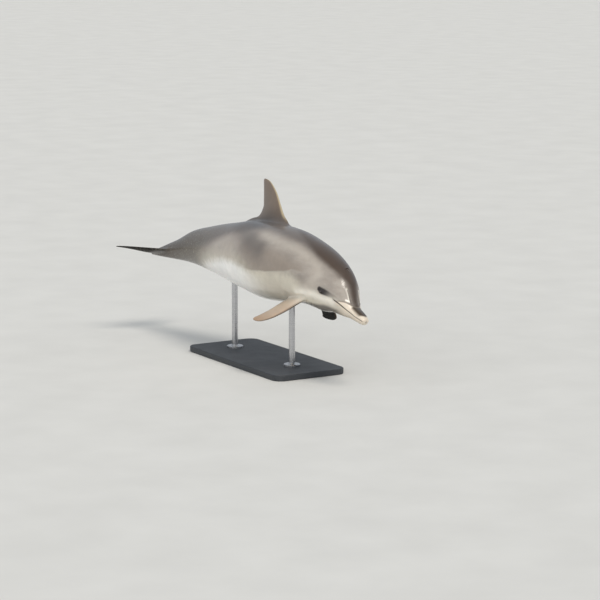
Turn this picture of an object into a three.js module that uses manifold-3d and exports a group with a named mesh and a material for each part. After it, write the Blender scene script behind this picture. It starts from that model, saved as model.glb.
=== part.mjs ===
// Common bottlenose dolphin (Tursiops truncatus), a life-size display model in mid leap on a two-rod stand.
//
// Millimetres, +Z up. The origin is on the floor under the middle of the trunk, the animal heads along +X,
// and its left side is towards +Y. The body is one loft along a bent spine. It is parted into named lengths
// by thin plane cuts, and the fins, eyes and stand are trimmed so that nothing overlaps.

import * as THREE from 'three';
import { mergeVertices } from 'three/addons/utils/BufferGeometryUtils.js';
import Module from 'manifold-3d';

const wasm = await Module();
wasm.setup();

// ---------------------------------------------------------------- driving dimensions

const BODY_LENGTH = 2500; // snout tip to the notch of the flukes, along the spine
const SPINE_HEIGHT = 660; // of the mid-trunk spine point above the floor
const MID_TRUNK = 1050; // distance behind the snout of that point
const GAP = 0.3; // clearance between neighbouring pieces
const TAIL_END = 2478; // where the body itself closes between the flukes

// Girth stations: distance behind the snout, height of the back above the spine, depth of the belly below
// it, half of the breadth, and how square the section is above and below (2 is an ellipse).
const STATIONS = [
  { name: 'snout tip', at: 0, above: 9, below: 14, half: 13, squareUp: 2.2, squareDown: 2.2 },
  { name: 'snout round', at: 10, above: 16, below: 27, half: 25, squareUp: 2.3, squareDown: 2.3 },
  { name: 'beak front', at: 38, above: 23, below: 35, half: 34, squareUp: 2.3, squareDown: 2.3 },
  { name: 'beak middle', at: 80, above: 25, below: 43, half: 42, squareUp: 2.3, squareDown: 2.3 },
  { name: 'melon crease', at: 114, above: 25, below: 51, half: 48, squareUp: 2.3, squareDown: 2.3 },
  { name: 'melon foot', at: 128, above: 30, below: 56, half: 54, squareUp: 2.2, squareDown: 2.2 },
  { name: 'melon front', at: 148, above: 42, below: 64, half: 62, squareUp: 2.1, squareDown: 2.2 },
  { name: 'melon bulge', at: 193, above: 81, below: 79, half: 81, squareUp: 2.1, squareDown: 2.2 },
  { name: 'gape', at: 253, above: 127, below: 99, half: 108, squareUp: 2.1, squareDown: 2.2 },
  { name: 'eye and blowhole', at: 338, above: 162, below: 143, half: 126, squareUp: 2.1, squareDown: 2.1 },
  { name: 'flipper root', at: 500, above: 190, below: 174, half: 168, squareUp: 2.05, squareDown: 2.1 },
  { name: 'chest', at: 650, above: 207, below: 197, half: 188, squareUp: 2.0, squareDown: 2.1 },
  { name: 'deep chest', at: 850, above: 225, below: 226, half: 209, squareUp: 2.0, squareDown: 2.1 },
  { name: 'mid trunk', at: 1050, above: 232, below: 241, half: 215, squareUp: 2.0, squareDown: 2.05 },
  { name: 'navel', at: 1300, above: 223, below: 220, half: 201, squareUp: 2.0, squareDown: 2.0 },
  { name: 'loin', at: 1550, above: 179, below: 186, half: 163, squareUp: 1.95, squareDown: 1.95 },
  { name: 'vent', at: 1800, above: 139, below: 140, half: 115, squareUp: 1.9, squareDown: 1.9 },
  { name: 'tail stock', at: 2000, above: 115, below: 100, half: 74, squareUp: 1.8, squareDown: 1.8 },
  { name: 'stock keel', at: 2175, above: 69, below: 66, half: 46, squareUp: 1.7, squareDown: 1.7 },
  { name: 'fluke root', at: 2300, above: 46, below: 43, half: 30, squareUp: 1.8, squareDown: 1.8 },
  { name: 'fluke middle', at: 2400, above: 26, below: 25, half: 22, squareUp: 2.0, squareDown: 2.0 },
  { name: 'tail end', at: TAIL_END, above: 10, below: 10, half: 11, squareUp: 2.0, squareDown: 2.0 },
];

// The pose: how far the spine heads to the animal's right of +X, and how far it noses down, in degrees.
const HEADINGS = [
  { at: 350, right: -5.5 },
  { at: 800, right: 1.5 },
  { at: 1375, right: -2.5 },
  { at: 1950, right: -7.5 },
  { at: 2500, right: -9 },
];
const PITCHES = [
  { at: 350, down: 25 },
  { at: 650, down: 5.5 },
  { at: 1000, down: -1 },
  { at: 1400, down: 0.5 },
  { at: 1800, down: -5 },
  { at: 2200, down: -11.5 },
  { at: 2500, down: -10 },
];
const BANK = 13.5; // roll of the whole animal, right side up

// Plane cuts that part the body, as distances behind the snout.
const CUTS = {
  beak: 114,
  cheek: 285,
  nape: 400,
  shoulder: 475,
  chest: 900,
  saddle: 1450,
  loin: 1750,
  stock: 2000,
  root: 2225,
};

// The mouth line in the side view of the head: distance behind the snout and height from the spine.
const MOUTH = [
  { at: -20, up: -4 },
  { at: 30, up: -6.5 },
  { at: 80, up: -10.5 },
  { at: 114, up: -10 },
  { at: 150, up: -7 },
  { at: 190, up: -3 },
  { at: 232, up: -1 },
];
const GAPE = 232; // corner of the mouth

const EYE = { at: 329, up: -10, radius: 17, sink: 12.5 }; // sink: how far the centre is under the skin

// Fins: outlines in the fin's own plane, each as along-chord (towards the leading edge) and out from root.
const DORSAL = {
  at: 1250, // spine station whose frame carries the fin
  leading: [[300, 160], [262, 240], [187, 290], [129, 346], [52, 420], [-36, 474], [-108, 491]],
  trailing: [[-345, 150], [-185, 222], [-96, 252], [-66, 310], [-76, 354], [-104, 430], [-126, 484]],
  thickness: [[0, 62], [0.3, 46], [0.6, 28], [0.85, 15], [1, 7]],
};
const FLIPPER = {
  at: 523,
  low: 0.55, // sine of the root's place round the section, 1 is the flank and 0 the keel
  leading: [[64, -70], [70, 0], [76, 90], [62, 190], [20, 285], [-34, 348], [-68, 372]],
  trailing: [[-50, -70], [-56, 0], [-70, 80], [-68, 160], [-64, 240], [-74, 320], [-86, 368]],
  thickness: [[0, 46], [0.25, 34], [0.55, 22], [0.85, 11], [1, 6]],
};
// Where each flipper points: parts backward, outward and down, and the twist of its chord in degrees.
const FLIPPER_POSES = {
  right: { side: -1, back: 0.61, out: 0.27, down: 0.75, twist: 22 },
  left: { side: 1, back: 0.6, out: 0.9, down: 0.56, twist: -8 },
};
const FLUKE = {
  at: 2390, // spine station whose frame carries the flukes
  leading: [[215, 0.2], [168, 30], [110, 90], [62, 160], [18, 230], [-26, 284], [-58, 308]],
  trailing: [[-66, 0.2], [-96, 26], [-90, 90], [-76, 160], [-68, 220], [-70, 270], [-76, 304]],
  thickness: [[0, 44], [0.2, 30], [0.5, 20], [0.85, 10], [1, 6]],
};

// Display stand.
const STAND = {
  base: { length: 1160, width: 500, thickness: 36, centre: -130, corner: 60, bevel: 4 },
  rod: { radius: 19, weld: 6, flangeRadius: 52, flangeThickness: 12, flangeBevel: 3, sides: 24 },
  rods: { front: 840, rear: 1540 }, // spine stations over the two rods
};

// Facets.
const SIDES = 28; // round each body section
const SNOUT_RINGS = [0, 2, 6, 12]; // stations of the first rings, close together on the round snout
const HEAD_STEP = 21; // between rings from there to the nape
const TRUNK_STEP = 62; // between rings behind the nape, about
const SPINE_STEP = 5; // of the walk along the spine
const FIN_ROWS = 11;
const FIN_COLUMNS = 12;
const EYE_COLUMNS = 14;
const EYE_ROWS = 8;
const FOIL_TAIL = 0.3; // how full a fin section stays at its rear edge, 1 is an ellipse

// Cutting blocks, larger than the animal or the head.
const BLOCK = 4000;
const JAW_BLOCK = 500;
const PAST_END = 50; // how far the first and last slices reach past the body

const COLOURS = {
  cape: 0x6b625b,
  flank: 0x9a9087,
  belly: 0xcfc8bc,
  fin: 0x85756a,
  fluke: 0x3b342e,
  eye: 0x17120f,
  steel: 0xb9bbbd,
  base: 0x2e3033,
};

// ---------------------------------------------------------------- curves and frames

// Monotone cubic through (xs, ys): never bulges past its own points.
function monotone(xs, ys) {
  const n = xs.length;
  const slope = [];
  for (let i = 0; i < n - 1; i++) slope.push((ys[i + 1] - ys[i]) / (xs[i + 1] - xs[i]));
  const tangent = [slope[0]];
  for (let i = 1; i < n - 1; i++) {
    const flat = slope[i - 1] * slope[i] <= 0;
    tangent.push(flat ? 0 : (2 * slope[i - 1] * slope[i]) / (slope[i - 1] + slope[i]));
  }
  tangent.push(slope[n - 2]);
  return (x) => {
    const c = THREE.MathUtils.clamp(x, xs[0], xs[n - 1]);
    let i = 0;
    while (i < n - 2 && c > xs[i + 1]) i++;
    const h = xs[i + 1] - xs[i];
    const t = (c - xs[i]) / h;
    const u = 1 - t;
    return ys[i] * (1 + 2 * t) * u * u + tangent[i] * h * t * u * u
      + ys[i + 1] * t * t * (3 - 2 * t) - tangent[i + 1] * h * t * t * u;
  };
}

const column = (rows, at, key) => monotone(rows.map((row) => row[at]), rows.map((row) => row[key]));
const above = column(STATIONS, 'at', 'above');
const below = column(STATIONS, 'at', 'below');
const half = column(STATIONS, 'at', 'half');
const squareUp = column(STATIONS, 'at', 'squareUp');
const squareDown = column(STATIONS, 'at', 'squareDown');
const headingRight = column(HEADINGS, 'at', 'right');
const noseDown = column(PITCHES, 'at', 'down');

function axesAt(at) {
  const yaw = THREE.MathUtils.degToRad(headingRight(at));
  const pitch = THREE.MathUtils.degToRad(noseDown(at));
  const forward = new THREE.Vector3(
    Math.cos(pitch) * Math.cos(yaw),
    -Math.cos(pitch) * Math.sin(yaw),
    -Math.sin(pitch),
  );
  const level = new THREE.Vector3(Math.sin(yaw), Math.cos(yaw), 0);
  const left = level.clone().applyAxisAngle(forward, -THREE.MathUtils.degToRad(BANK));
  const up = new THREE.Vector3().crossVectors(forward, left);
  return { forward, left, up };
}

// Spine points every SPINE_STEP, walked backwards from the snout, then moved so that mid trunk is in place.
function walkSpine() {
  const points = [new THREE.Vector3()];
  for (let at = 0; at < BODY_LENGTH; at += SPINE_STEP) {
    const next = points[points.length - 1].clone();
    points.push(next.addScaledVector(axesAt(at + SPINE_STEP / 2).forward, -SPINE_STEP));
  }
  const offset = points[MID_TRUNK / SPINE_STEP].clone();
  for (const point of points) point.sub(offset).add(new THREE.Vector3(0, 0, SPINE_HEIGHT));
  return points;
}
const SPINE = walkSpine();

function frameAt(at) {
  const clamped = THREE.MathUtils.clamp(at, 0, BODY_LENGTH);
  const i = Math.min(Math.floor(clamped / SPINE_STEP), SPINE.length - 2);
  const origin = SPINE[i].clone().lerp(SPINE[i + 1], clamped / SPINE_STEP - i);
  const axes = axesAt(clamped);
  origin.addScaledVector(axes.forward, clamped - at);
  return { origin, ...axes };
}

function place(frame, forward, left, up) {
  return frame.origin.clone()
    .addScaledVector(frame.forward, forward)
    .addScaledVector(frame.left, left)
    .addScaledVector(frame.up, up);
}

const power = (value, exponent) => Math.sign(value) * Math.abs(value) ** exponent;

// A point of the section at a station, at an angle from the back towards the left side.
function sectionAt(at, angle, grow = 0) {
  const top = Math.cos(angle) >= 0;
  const exponent = 2 / (top ? squareUp(at) : squareDown(at));
  return {
    left: (half(at) + grow) * power(Math.sin(angle), exponent),
    up: ((top ? above(at) : below(at)) + grow) * power(Math.cos(angle), exponent),
  };
}

// ---------------------------------------------------------------- solids

function toSolid(geometry) {
  geometry.deleteAttribute('normal');
  geometry.deleteAttribute('uv');
  const merged = mergeVertices(geometry, 1e-3);
  const solid = new wasm.Manifold(new wasm.Mesh({
    numProp: 3,
    vertProperties: merged.attributes.position.array,
    triVerts: new Uint32Array(merged.index.array),
  }));
  if (solid.volume() <= 0) throw new Error('a surface is inside out');
  return solid;
}

function toGeometry(solid) {
  const mesh = solid.getMesh();
  const geometry = new THREE.BufferGeometry();
  geometry.setAttribute('position', new THREE.BufferAttribute(mesh.vertProperties, 3));
  geometry.setIndex(new THREE.BufferAttribute(mesh.triVerts, 1));
  return geometry;
}

// A sphere whose rows and columns are moved by placeVertex(row, column), so it stays closed and outward.
function warpedSphere(columns, rows, placeVertex) {
  const geometry = new THREE.SphereGeometry(1, columns, rows);
  const positions = geometry.attributes.position;
  for (let row = 0; row <= rows; row++) {
    for (let col = 0; col <= columns; col++) {
      const point = placeVertex(row, col % columns);
      positions.setXYZ(row * (columns + 1) + col, point.x, point.y, point.z);
    }
  }
  return geometry;
}

// Station of each ring: close together on the round snout and the head, wider on the trunk.
function ringStations() {
  const rings = [...SNOUT_RINGS];
  while (rings[rings.length - 1] + HEAD_STEP < CUTS.nape) rings.push(rings[rings.length - 1] + HEAD_STEP);
  const head = rings[rings.length - 1];
  const count = Math.round((TAIL_END - head) / TRUNK_STEP);
  for (let i = 1; i <= count; i++) rings.push(head + ((TAIL_END - head) * i) / count);
  return rings;
}

function bodySolid(grow = 0) {
  const rings = ringStations();
  const rows = rings.length + 1;
  return toSolid(warpedSphere(SIDES, rows, (row, col) => {
    if (row === 0) return place(frameAt(0), grow, 0, 0);
    if (row === rows) return place(frameAt(TAIL_END), -grow, 0, 0);
    const at = rings[row - 1];
    const angle = Math.PI / 2 - (2 * Math.PI * col) / SIDES;
    const section = sectionAt(at, angle, grow);
    return place(frameAt(at), 0, section.left, section.up);
  }));
}

// Everything behind a plane across the spine, as one big block.
function behind(at) {
  const frame = frameAt(at);
  const geometry = new THREE.BoxGeometry(BLOCK, BLOCK, BLOCK);
  geometry.translate(-BLOCK / 2, 0, 0);
  const basis = new THREE.Matrix4().makeBasis(frame.forward, frame.left, frame.up);
  geometry.applyMatrix4(basis.setPosition(frame.origin));
  return toSolid(geometry);
}

const slice = (solid, from, to) => solid.intersect(behind(from + GAP / 2)).subtract(behind(to - GAP / 2));

// Everything below the mouth line and ahead of the gape. The shift moves its upper and rear faces.
function jawBlock(shift) {
  const frame = frameAt(0);
  const outline = new THREE.Shape();
  const points = MOUTH.map((point) => new THREE.Vector2(-point.at, point.up + shift));
  points[points.length - 1].x -= shift;
  outline.moveTo(points[0].x, -JAW_BLOCK);
  outline.lineTo(points[0].x, points[0].y);
  outline.splineThru(points.slice(1));
  outline.lineTo(-GAPE - shift, -JAW_BLOCK);
  outline.closePath();
  const settings = { depth: JAW_BLOCK, bevelEnabled: false, curveSegments: 8 };
  const geometry = new THREE.ExtrudeGeometry(outline, settings);
  geometry.translate(0, 0, -JAW_BLOCK / 2);
  const right = frame.left.clone().negate();
  const basis = new THREE.Matrix4().makeBasis(frame.forward, frame.up, right);
  geometry.applyMatrix4(basis.setPosition(frame.origin));
  return toSolid(geometry);
}

// A fin: chord sections between a leading and a trailing outline, with a round nose and a fine rear edge.
function finSolid(shape, origin, chordAxis, spanAxis) {
  const leading = new THREE.SplineCurve(shape.leading.map(([c, h]) => new THREE.Vector2(c, h)));
  const trailing = new THREE.SplineCurve(shape.trailing.map(([c, h]) => new THREE.Vector2(c, h)));
  const thicknessAt = monotone(shape.thickness.map((row) => row[0]), shape.thickness.map((row) => row[1]));
  const normal = new THREE.Vector3().crossVectors(chordAxis, spanAxis);
  const at = (point, out) => origin.clone()
    .addScaledVector(chordAxis, point.x)
    .addScaledVector(spanAxis, point.y)
    .addScaledVector(normal, out);
  const rows = FIN_ROWS + 2;
  return toSolid(warpedSphere(FIN_COLUMNS, rows, (row, col) => {
    const v = THREE.MathUtils.clamp((row - 1) / FIN_ROWS, 0, 1);
    const front = leading.getPoint(v);
    const rear = trailing.getPoint(v);
    if (row === 0 || row === rows) return at(front.lerp(rear, 0.5), 0);
    const round = (2 * Math.PI * col) / FIN_COLUMNS;
    const chordwise = (1 + Math.cos(round)) / 2; // 1 at the leading edge
    const foil = Math.sin(round) * (FOIL_TAIL + (1 - FOIL_TAIL) * Math.sqrt(chordwise));
    return at(rear.lerp(front, chordwise), (thicknessAt(v) / 2) * foil);
  }));
}

// ---------------------------------------------------------------- the animal

const group = new THREE.Group();

function addMesh(name, solid, colour, roughness = 0.35, metalness = 0) {
  const material = new THREE.MeshStandardMaterial({ color: colour, roughness, metalness });
  const mesh = new THREE.Mesh(toGeometry(solid), material);
  mesh.name = name;
  group.add(mesh);
}

function eyeSolid(side, grow) {
  const frame = frameAt(EYE.at);
  const angle = Math.acos(EYE.up / below(EYE.at));
  const skin = sectionAt(EYE.at, angle);
  const geometry = new THREE.SphereGeometry(EYE.radius + grow, EYE_COLUMNS, EYE_ROWS);
  const centre = place(frame, 0, side * (skin.left - EYE.sink), EYE.up);
  geometry.translate(centre.x, centre.y, centre.z);
  return toSolid(geometry);
}

function flipperSolid(pose) {
  const frame = frameAt(FLIPPER.at);
  const angle = Math.PI - Math.asin(FLIPPER.low);
  const skin = sectionAt(FLIPPER.at, angle);
  const root = place(frame, 0, pose.side * skin.left, skin.up);
  const span = new THREE.Vector3()
    .addScaledVector(frame.forward, -pose.back)
    .addScaledVector(frame.left, pose.side * pose.out)
    .addScaledVector(frame.up, -pose.down)
    .normalize();
  const chord = frame.forward.clone().addScaledVector(span, -frame.forward.dot(span)).normalize();
  chord.applyAxisAngle(span, THREE.MathUtils.degToRad(pose.twist));
  return finSolid(FLIPPER, root, chord, span);
}

function dorsalSolid() {
  const frame = frameAt(DORSAL.at);
  return finSolid(DORSAL, frame.origin, frame.forward, frame.up);
}

function flukeSolid(side) {
  const frame = frameAt(FLUKE.at);
  return finSolid(FLUKE, frame.origin, frame.forward, frame.left.clone().multiplyScalar(side));
}

function buildAnimal() {
  const sockets = eyeSolid(1, GAP).add(eyeSolid(-1, GAP));
  const body = bodySolid().subtract(sockets);
  const grownBody = bodySolid(GAP);
  const front = slice(body, -PAST_END, CUTS.cheek);
  const upper = front.subtract(jawBlock(GAP / 2));
  addMesh('upper_beak', slice(upper, -PAST_END, CUTS.beak), COLOURS.flank);
  addMesh('lower_jaw', front.intersect(jawBlock(-GAP / 2)), COLOURS.belly);
  addMesh('melon', slice(upper, CUTS.beak, CUTS.cheek), COLOURS.cape);
  addMesh('head', slice(body, CUTS.cheek, CUTS.nape), COLOURS.cape);
  addMesh('neck', slice(body, CUTS.nape, CUTS.shoulder), COLOURS.flank);
  addMesh('chest', slice(body, CUTS.shoulder, CUTS.chest), COLOURS.flank);
  addMesh('trunk_saddle', slice(body, CUTS.chest, CUTS.saddle), COLOURS.flank);
  addMesh('trunk_loin', slice(body, CUTS.saddle, CUTS.loin), COLOURS.flank);
  addMesh('tail_stock_front', slice(body, CUTS.loin, CUTS.stock), COLOURS.cape);
  addMesh('tail_stock_rear', slice(body, CUTS.stock, CUTS.root), COLOURS.cape);
  addMesh('tail_root', slice(body, CUTS.root, TAIL_END + PAST_END), COLOURS.fluke);
  addMesh('dorsal_fin', dorsalSolid().subtract(grownBody), COLOURS.fin);
  addMesh('flipper_left', flipperSolid(FLIPPER_POSES.left).subtract(grownBody), COLOURS.fin);
  addMesh('flipper_right', flipperSolid(FLIPPER_POSES.right).subtract(grownBody), COLOURS.fin);
  addMesh('fluke_left', flukeSolid(1).subtract(grownBody), COLOURS.fluke);
  addMesh('fluke_right', flukeSolid(-1).subtract(grownBody), COLOURS.fluke);
  addMesh('eye_left', eyeSolid(1, 0), COLOURS.eye, 0.08);
  addMesh('eye_right', eyeSolid(-1, 0), COLOURS.eye, 0.08);
  return grownBody;
}

// ---------------------------------------------------------------- the stand

function baseSolid() {
  const { length, width, thickness, centre, corner, bevel } = STAND.base;
  const x = length / 2 - bevel;
  const y = width / 2 - bevel;
  const outline = new THREE.Shape();
  outline.moveTo(-x + corner, -y);
  outline.lineTo(x - corner, -y);
  outline.absarc(x - corner, -y + corner, corner, -Math.PI / 2, 0);
  outline.lineTo(x, y - corner);
  outline.absarc(x - corner, y - corner, corner, 0, Math.PI / 2);
  outline.lineTo(-x + corner, y);
  outline.absarc(-x + corner, y - corner, corner, Math.PI / 2, Math.PI);
  outline.lineTo(-x, -y + corner);
  outline.absarc(-x + corner, -y + corner, corner, Math.PI, 1.5 * Math.PI);
  const geometry = new THREE.ExtrudeGeometry(outline, {
    depth: thickness - 2 * bevel,
    bevelThickness: bevel,
    bevelSize: bevel,
    bevelSegments: 1,
    curveSegments: 6,
  });
  geometry.translate(centre, 0, bevel);
  return toSolid(geometry);
}

// A rod with a flange at its foot. It stops just under the belly, cut to the belly's slope.
function rodSolid(station, grownBody) {
  const { radius, weld, flangeRadius, flangeThickness, flangeBevel, sides } = STAND.rod;
  const foot = STAND.base.thickness + GAP;
  const flangeTop = foot + flangeThickness;
  const top = frameAt(station).origin;
  const profile = [
    new THREE.Vector2(0, foot),
    new THREE.Vector2(flangeRadius, foot),
    new THREE.Vector2(flangeRadius, flangeTop - flangeBevel),
    new THREE.Vector2(flangeRadius - flangeBevel, flangeTop),
    new THREE.Vector2(radius + weld, flangeTop),
    new THREE.Vector2(radius, flangeTop + weld),
    new THREE.Vector2(radius, top.z),
    new THREE.Vector2(0, top.z),
  ];
  const geometry = new THREE.LatheGeometry(profile, sides);
  geometry.rotateX(Math.PI / 2);
  geometry.translate(top.x, top.y, 0);
  return toSolid(geometry).subtract(grownBody);
}

const grownBody = buildAnimal();
addMesh('stand_base', baseSolid(), COLOURS.base, 0.5);
addMesh('stand_rod_front', rodSolid(STAND.rods.front, grownBody), COLOURS.steel, 0.3, 1);
addMesh('stand_rod_rear', rodSolid(STAND.rods.rear, grownBody), COLOURS.steel, 0.3, 1);

export default group;
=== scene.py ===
"""A life-size common bottlenose dolphin in mid leap on a two-rod display stand.

The skin is one closed mesh. It starts as a grid laid round the bent spine, the eyelids and fins are grown out
of it ring by ring, and each point carries the markings of its place. The eyes are separate globes under the
lids.
"""

import math

import bmesh
import bpy
import numpy as np
from bpy.props import FloatProperty, FloatVectorProperty, PointerProperty
from mathutils import Matrix, Vector


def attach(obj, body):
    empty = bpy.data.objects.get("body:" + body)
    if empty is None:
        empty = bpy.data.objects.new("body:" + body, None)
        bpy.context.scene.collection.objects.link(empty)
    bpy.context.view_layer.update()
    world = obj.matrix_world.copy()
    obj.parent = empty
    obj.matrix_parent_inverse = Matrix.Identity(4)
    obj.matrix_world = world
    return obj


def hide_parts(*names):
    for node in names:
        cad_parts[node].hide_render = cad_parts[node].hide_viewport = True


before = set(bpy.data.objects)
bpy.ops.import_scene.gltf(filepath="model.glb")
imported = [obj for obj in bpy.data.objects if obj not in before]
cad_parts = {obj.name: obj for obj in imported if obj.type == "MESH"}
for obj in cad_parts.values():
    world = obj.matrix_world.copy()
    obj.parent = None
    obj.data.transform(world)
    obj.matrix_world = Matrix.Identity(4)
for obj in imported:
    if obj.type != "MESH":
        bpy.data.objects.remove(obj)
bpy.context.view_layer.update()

bl_info = {
    "name": "Dolphin Display Model",
    "version": (1, 0, 0),
    "blender": (4, 5, 0),
    "location": "3D View > Sidebar > Dolphin",
    "description": "Builds a life-size leaping dolphin with its skin, eyes and stand",
    "category": "Object",
}

MM = 0.001
BODY = "root"

# ---------------------------------------------------------------- the animal's dimensions, in millimetres

BODY_LENGTH = 2500  # snout tip to the notch of the flukes, along the spine
SPINE_HEIGHT = 660  # of the mid-trunk spine point above the floor
MID_TRUNK = 1050  # distance behind the snout of that point
TAIL_END = 2478  # where the body closes between the flukes
SPINE_STEP = 5  # of the walk along the spine
BANK = 13.5  # roll of the whole animal in degrees, right side up
NOSE = 12  # depth of the rounding of the snout
TAIL_ROUND = 10  # depth of the rounding of the tail's end

# Girth: distance behind the snout, back above the spine, belly below it, half the breadth, and how square the
# section is above and below, where 2 is an ellipse.
STATIONS = (
    (0, 9, 14, 13, 2.2, 2.2),
    (10, 16, 27, 25, 2.3, 2.3),
    (38, 23, 35, 34, 2.3, 2.3),
    (80, 25, 43, 42, 2.3, 2.3),
    (114, 25, 51, 48, 2.3, 2.3),
    (128, 30, 56, 54, 2.2, 2.2),
    (148, 42, 64, 62, 2.1, 2.2),
    (193, 81, 79, 81, 2.1, 2.2),
    (253, 127, 99, 108, 2.1, 2.2),
    (338, 162, 143, 126, 2.1, 2.1),
    (500, 190, 174, 168, 2.05, 2.1),
    (650, 207, 197, 188, 2.0, 2.1),
    (850, 225, 226, 209, 2.0, 2.1),
    (1050, 232, 241, 215, 2.0, 2.05),
    (1300, 223, 220, 201, 2.0, 2.0),
    (1550, 179, 186, 163, 1.95, 1.95),
    (1800, 139, 140, 115, 1.9, 1.9),
    (2000, 115, 100, 74, 1.8, 1.8),
    (2175, 69, 66, 46, 1.7, 1.7),
    (2300, 46, 43, 30, 1.8, 1.8),
    (2400, 26, 25, 22, 2.0, 2.0),
    (TAIL_END, 10, 10, 11, 2.0, 2.0),
)
# The pose: degrees to the right of +X, and degrees nose down, along the spine.
HEADINGS = ((350, -5.5), (800, 1.5), (1375, -2.5), (1950, -7.5), (2500, -9))
PITCHES = ((350, 25), (650, 5.5), (1000, -1), (1400, 0.5), (1800, -5), (2200, -11.5), (2500, -10))
# The mouth line: distance behind the snout and height from the spine.
MOUTH = ((-20, -4), (30, -6.5), (80, -10.5), (114, -10), (150, -7), (190, -3), (232, -1))
GAPE = 232  # corner of the mouth
EYE = {"at": 329, "up": -10, "radius": 17, "sink": 12.5}  # sink: how far its centre is under the skin
# The blowhole: its place, how far in front of it the middle of its ring lies, the ring's radius, and half the
# breadth of the slit.
BLOWHOLE = {"at": 326, "shift": 8, "radius": 18, "slit": 2.4}
EAR = {"at": 386, "angle": 97}
TINY = 1e-9  # keeps a division by no length finite

# Fins: outlines in the fin's own plane, each as along-chord (towards the leading edge) and out from the root.
DORSAL = {
    "at": 1250,
    "leading": ((300, 160), (262, 240), (187, 290), (129, 346), (52, 420), (-36, 474), (-108, 491)),
    "trailing": ((-345, 150), (-185, 222), (-96, 252), (-66, 310), (-76, 354), (-104, 430), (-126, 484)),
    "thickness": ((0, 62), (0.3, 46), (0.6, 28), (0.85, 15), (1, 7)),
    "fillet": (34, 42),  # radius where the fin meets the skin, at its front and its rear
    "nose": 25,  # degrees round the leading edge that the hole's front row covers
    "rings": 32,  # of points from the fillet to where the tip starts
}
FLIPPER = {
    "at": 523,
    "low": 0.55,  # sine of the root's place round the section, 1 is the flank and 0 the keel
    "leading": ((64, -70), (70, 0), (76, 90), (62, 190), (20, 285), (-34, 348), (-68, 372)),
    "trailing": ((-50, -70), (-56, 0), (-70, 80), (-68, 160), (-64, 240), (-74, 320), (-86, 368)),
    "thickness": ((0, 46), (0.25, 34), (0.55, 22), (0.85, 11), (1, 6)),
    "fillet": (24, 20),
    "nose": 45,
    "rings": 35,
}
# Where each flipper points: parts backward, outward and down, and the twist of its chord in degrees.
FLIPPER_POSES = {
    -1: {"back": 0.61, "out": 0.27, "down": 0.75, "twist": 22},
    1: {"back": 0.6, "out": 0.9, "down": 0.56, "twist": -8},
}
FLUKE = {
    "at": 2390,
    "leading": ((215, 0.2), (168, 30), (110, 90), (62, 160), (18, 230), (-26, 284), (-58, 308)),
    "trailing": ((-66, 0.2), (-96, 26), (-90, 90), (-76, 160), (-68, 220), (-70, 270), (-76, 304)),
    "thickness": ((0, 44), (0.2, 30), (0.5, 20), (0.85, 10), (1, 6)),
    "fillet": (22, 3),
    "nose": 35,
    "rings": 30,
}
FOIL_TAIL = 0.3  # how full a fin section stays at its rear edge, 1 is an ellipse

# The grid of the skin.
COLUMNS = 160  # round the body, from the keel up the right side and down the left
MOUTH_COLUMN = 44  # columns from the back down to the mouth line
# Distances of the columns next to the mouth line.
LIP_STEPS = (-6.0, -3.8, -2.2, -1.0, 0.0, 1.0, 2.2, 3.8, 6.0)
# Distances between rows: from and to behind the snout, and the step.
ROW_STEPS = ((NOSE, 400, 3.0), (400, 640, 6.0), (640, 2200, 12.0), (2200, 2468, 7.0))
NOSE_ROWS = 8  # rows round the tip of the snout
TAIL_ROWS = 7  # rows round the tail's end
MOUTH_GATHER = (330, 250)  # where the columns start to gather along the mouth line, and where they all do
ON_GRID = 0.001  # how near to a whole row and column a point of the flat grid counts as on it
MERGE_DISTANCE = 0.00002  # in metres, between points that are one


# ---------------------------------------------------------------- curves and frames


def monotone(rows, column=1):
    """A monotone cubic through a table's column: it never bulges past its own points."""
    xs = np.array([row[0] for row in rows], float)
    ys = np.array([row[column] for row in rows], float)
    step = np.diff(xs)
    slope = np.diff(ys) / step
    tangent = np.concatenate([slope[:1], np.zeros(len(xs) - 2), slope[-1:]])
    turns = slope[:-1] * slope[1:] > 0
    both = np.where(turns, slope[:-1] + slope[1:], 1)
    tangent[1:-1] = np.where(turns, 2 * slope[:-1] * slope[1:] / both, 0)

    def value(x):
        inside = np.clip(x, xs[0], xs[-1])
        part = np.clip(np.searchsorted(xs, inside) - 1, 0, len(xs) - 2)
        share = (inside - xs[part]) / step[part]
        rest = 1 - share
        rise = ys[part] * (1 + 2 * share) * rest * rest + ys[part + 1] * share * share * (3 - 2 * share)
        return rise + step[part] * share * rest * (tangent[part] * rest - tangent[part + 1] * share)

    return value


above, below, half, square_up, square_down = (monotone(STATIONS, column) for column in range(1, 6))
heading = monotone(HEADINGS)
nose_down = monotone(PITCHES)
mouth_up = monotone(MOUTH)


def smooth(low, high, x):
    """0 up to low, 1 from high, with an easy step between. Low may be the larger."""
    share = np.clip((x - low) / (high - low), 0, 1)
    return share * share * (3 - 2 * share)


def bump(x, width):
    """A round bump: 1 at 0, and down to about a third at the width."""
    return np.exp(-((x / width) ** 2))


def dot(a, b):
    return np.sum(a * b, -1)


def unit(a):
    return a / (np.linalg.norm(a, axis=-1, keepdims=True) + TINY)


def axes_at(at):
    """Forward, left and up of the body at each distance behind the snout."""
    yaw = np.radians(heading(at))
    down = np.radians(nose_down(at))
    bank = math.radians(BANK)
    flat = np.zeros_like(yaw)
    forward = np.stack([np.cos(down) * np.cos(yaw), -np.cos(down) * np.sin(yaw), -np.sin(down)], -1)
    level = np.stack([np.sin(yaw), np.cos(yaw), flat], -1)
    left = level * math.cos(bank) - np.cross(forward, level) * math.sin(bank)
    return forward, left, np.cross(forward, left)


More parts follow.
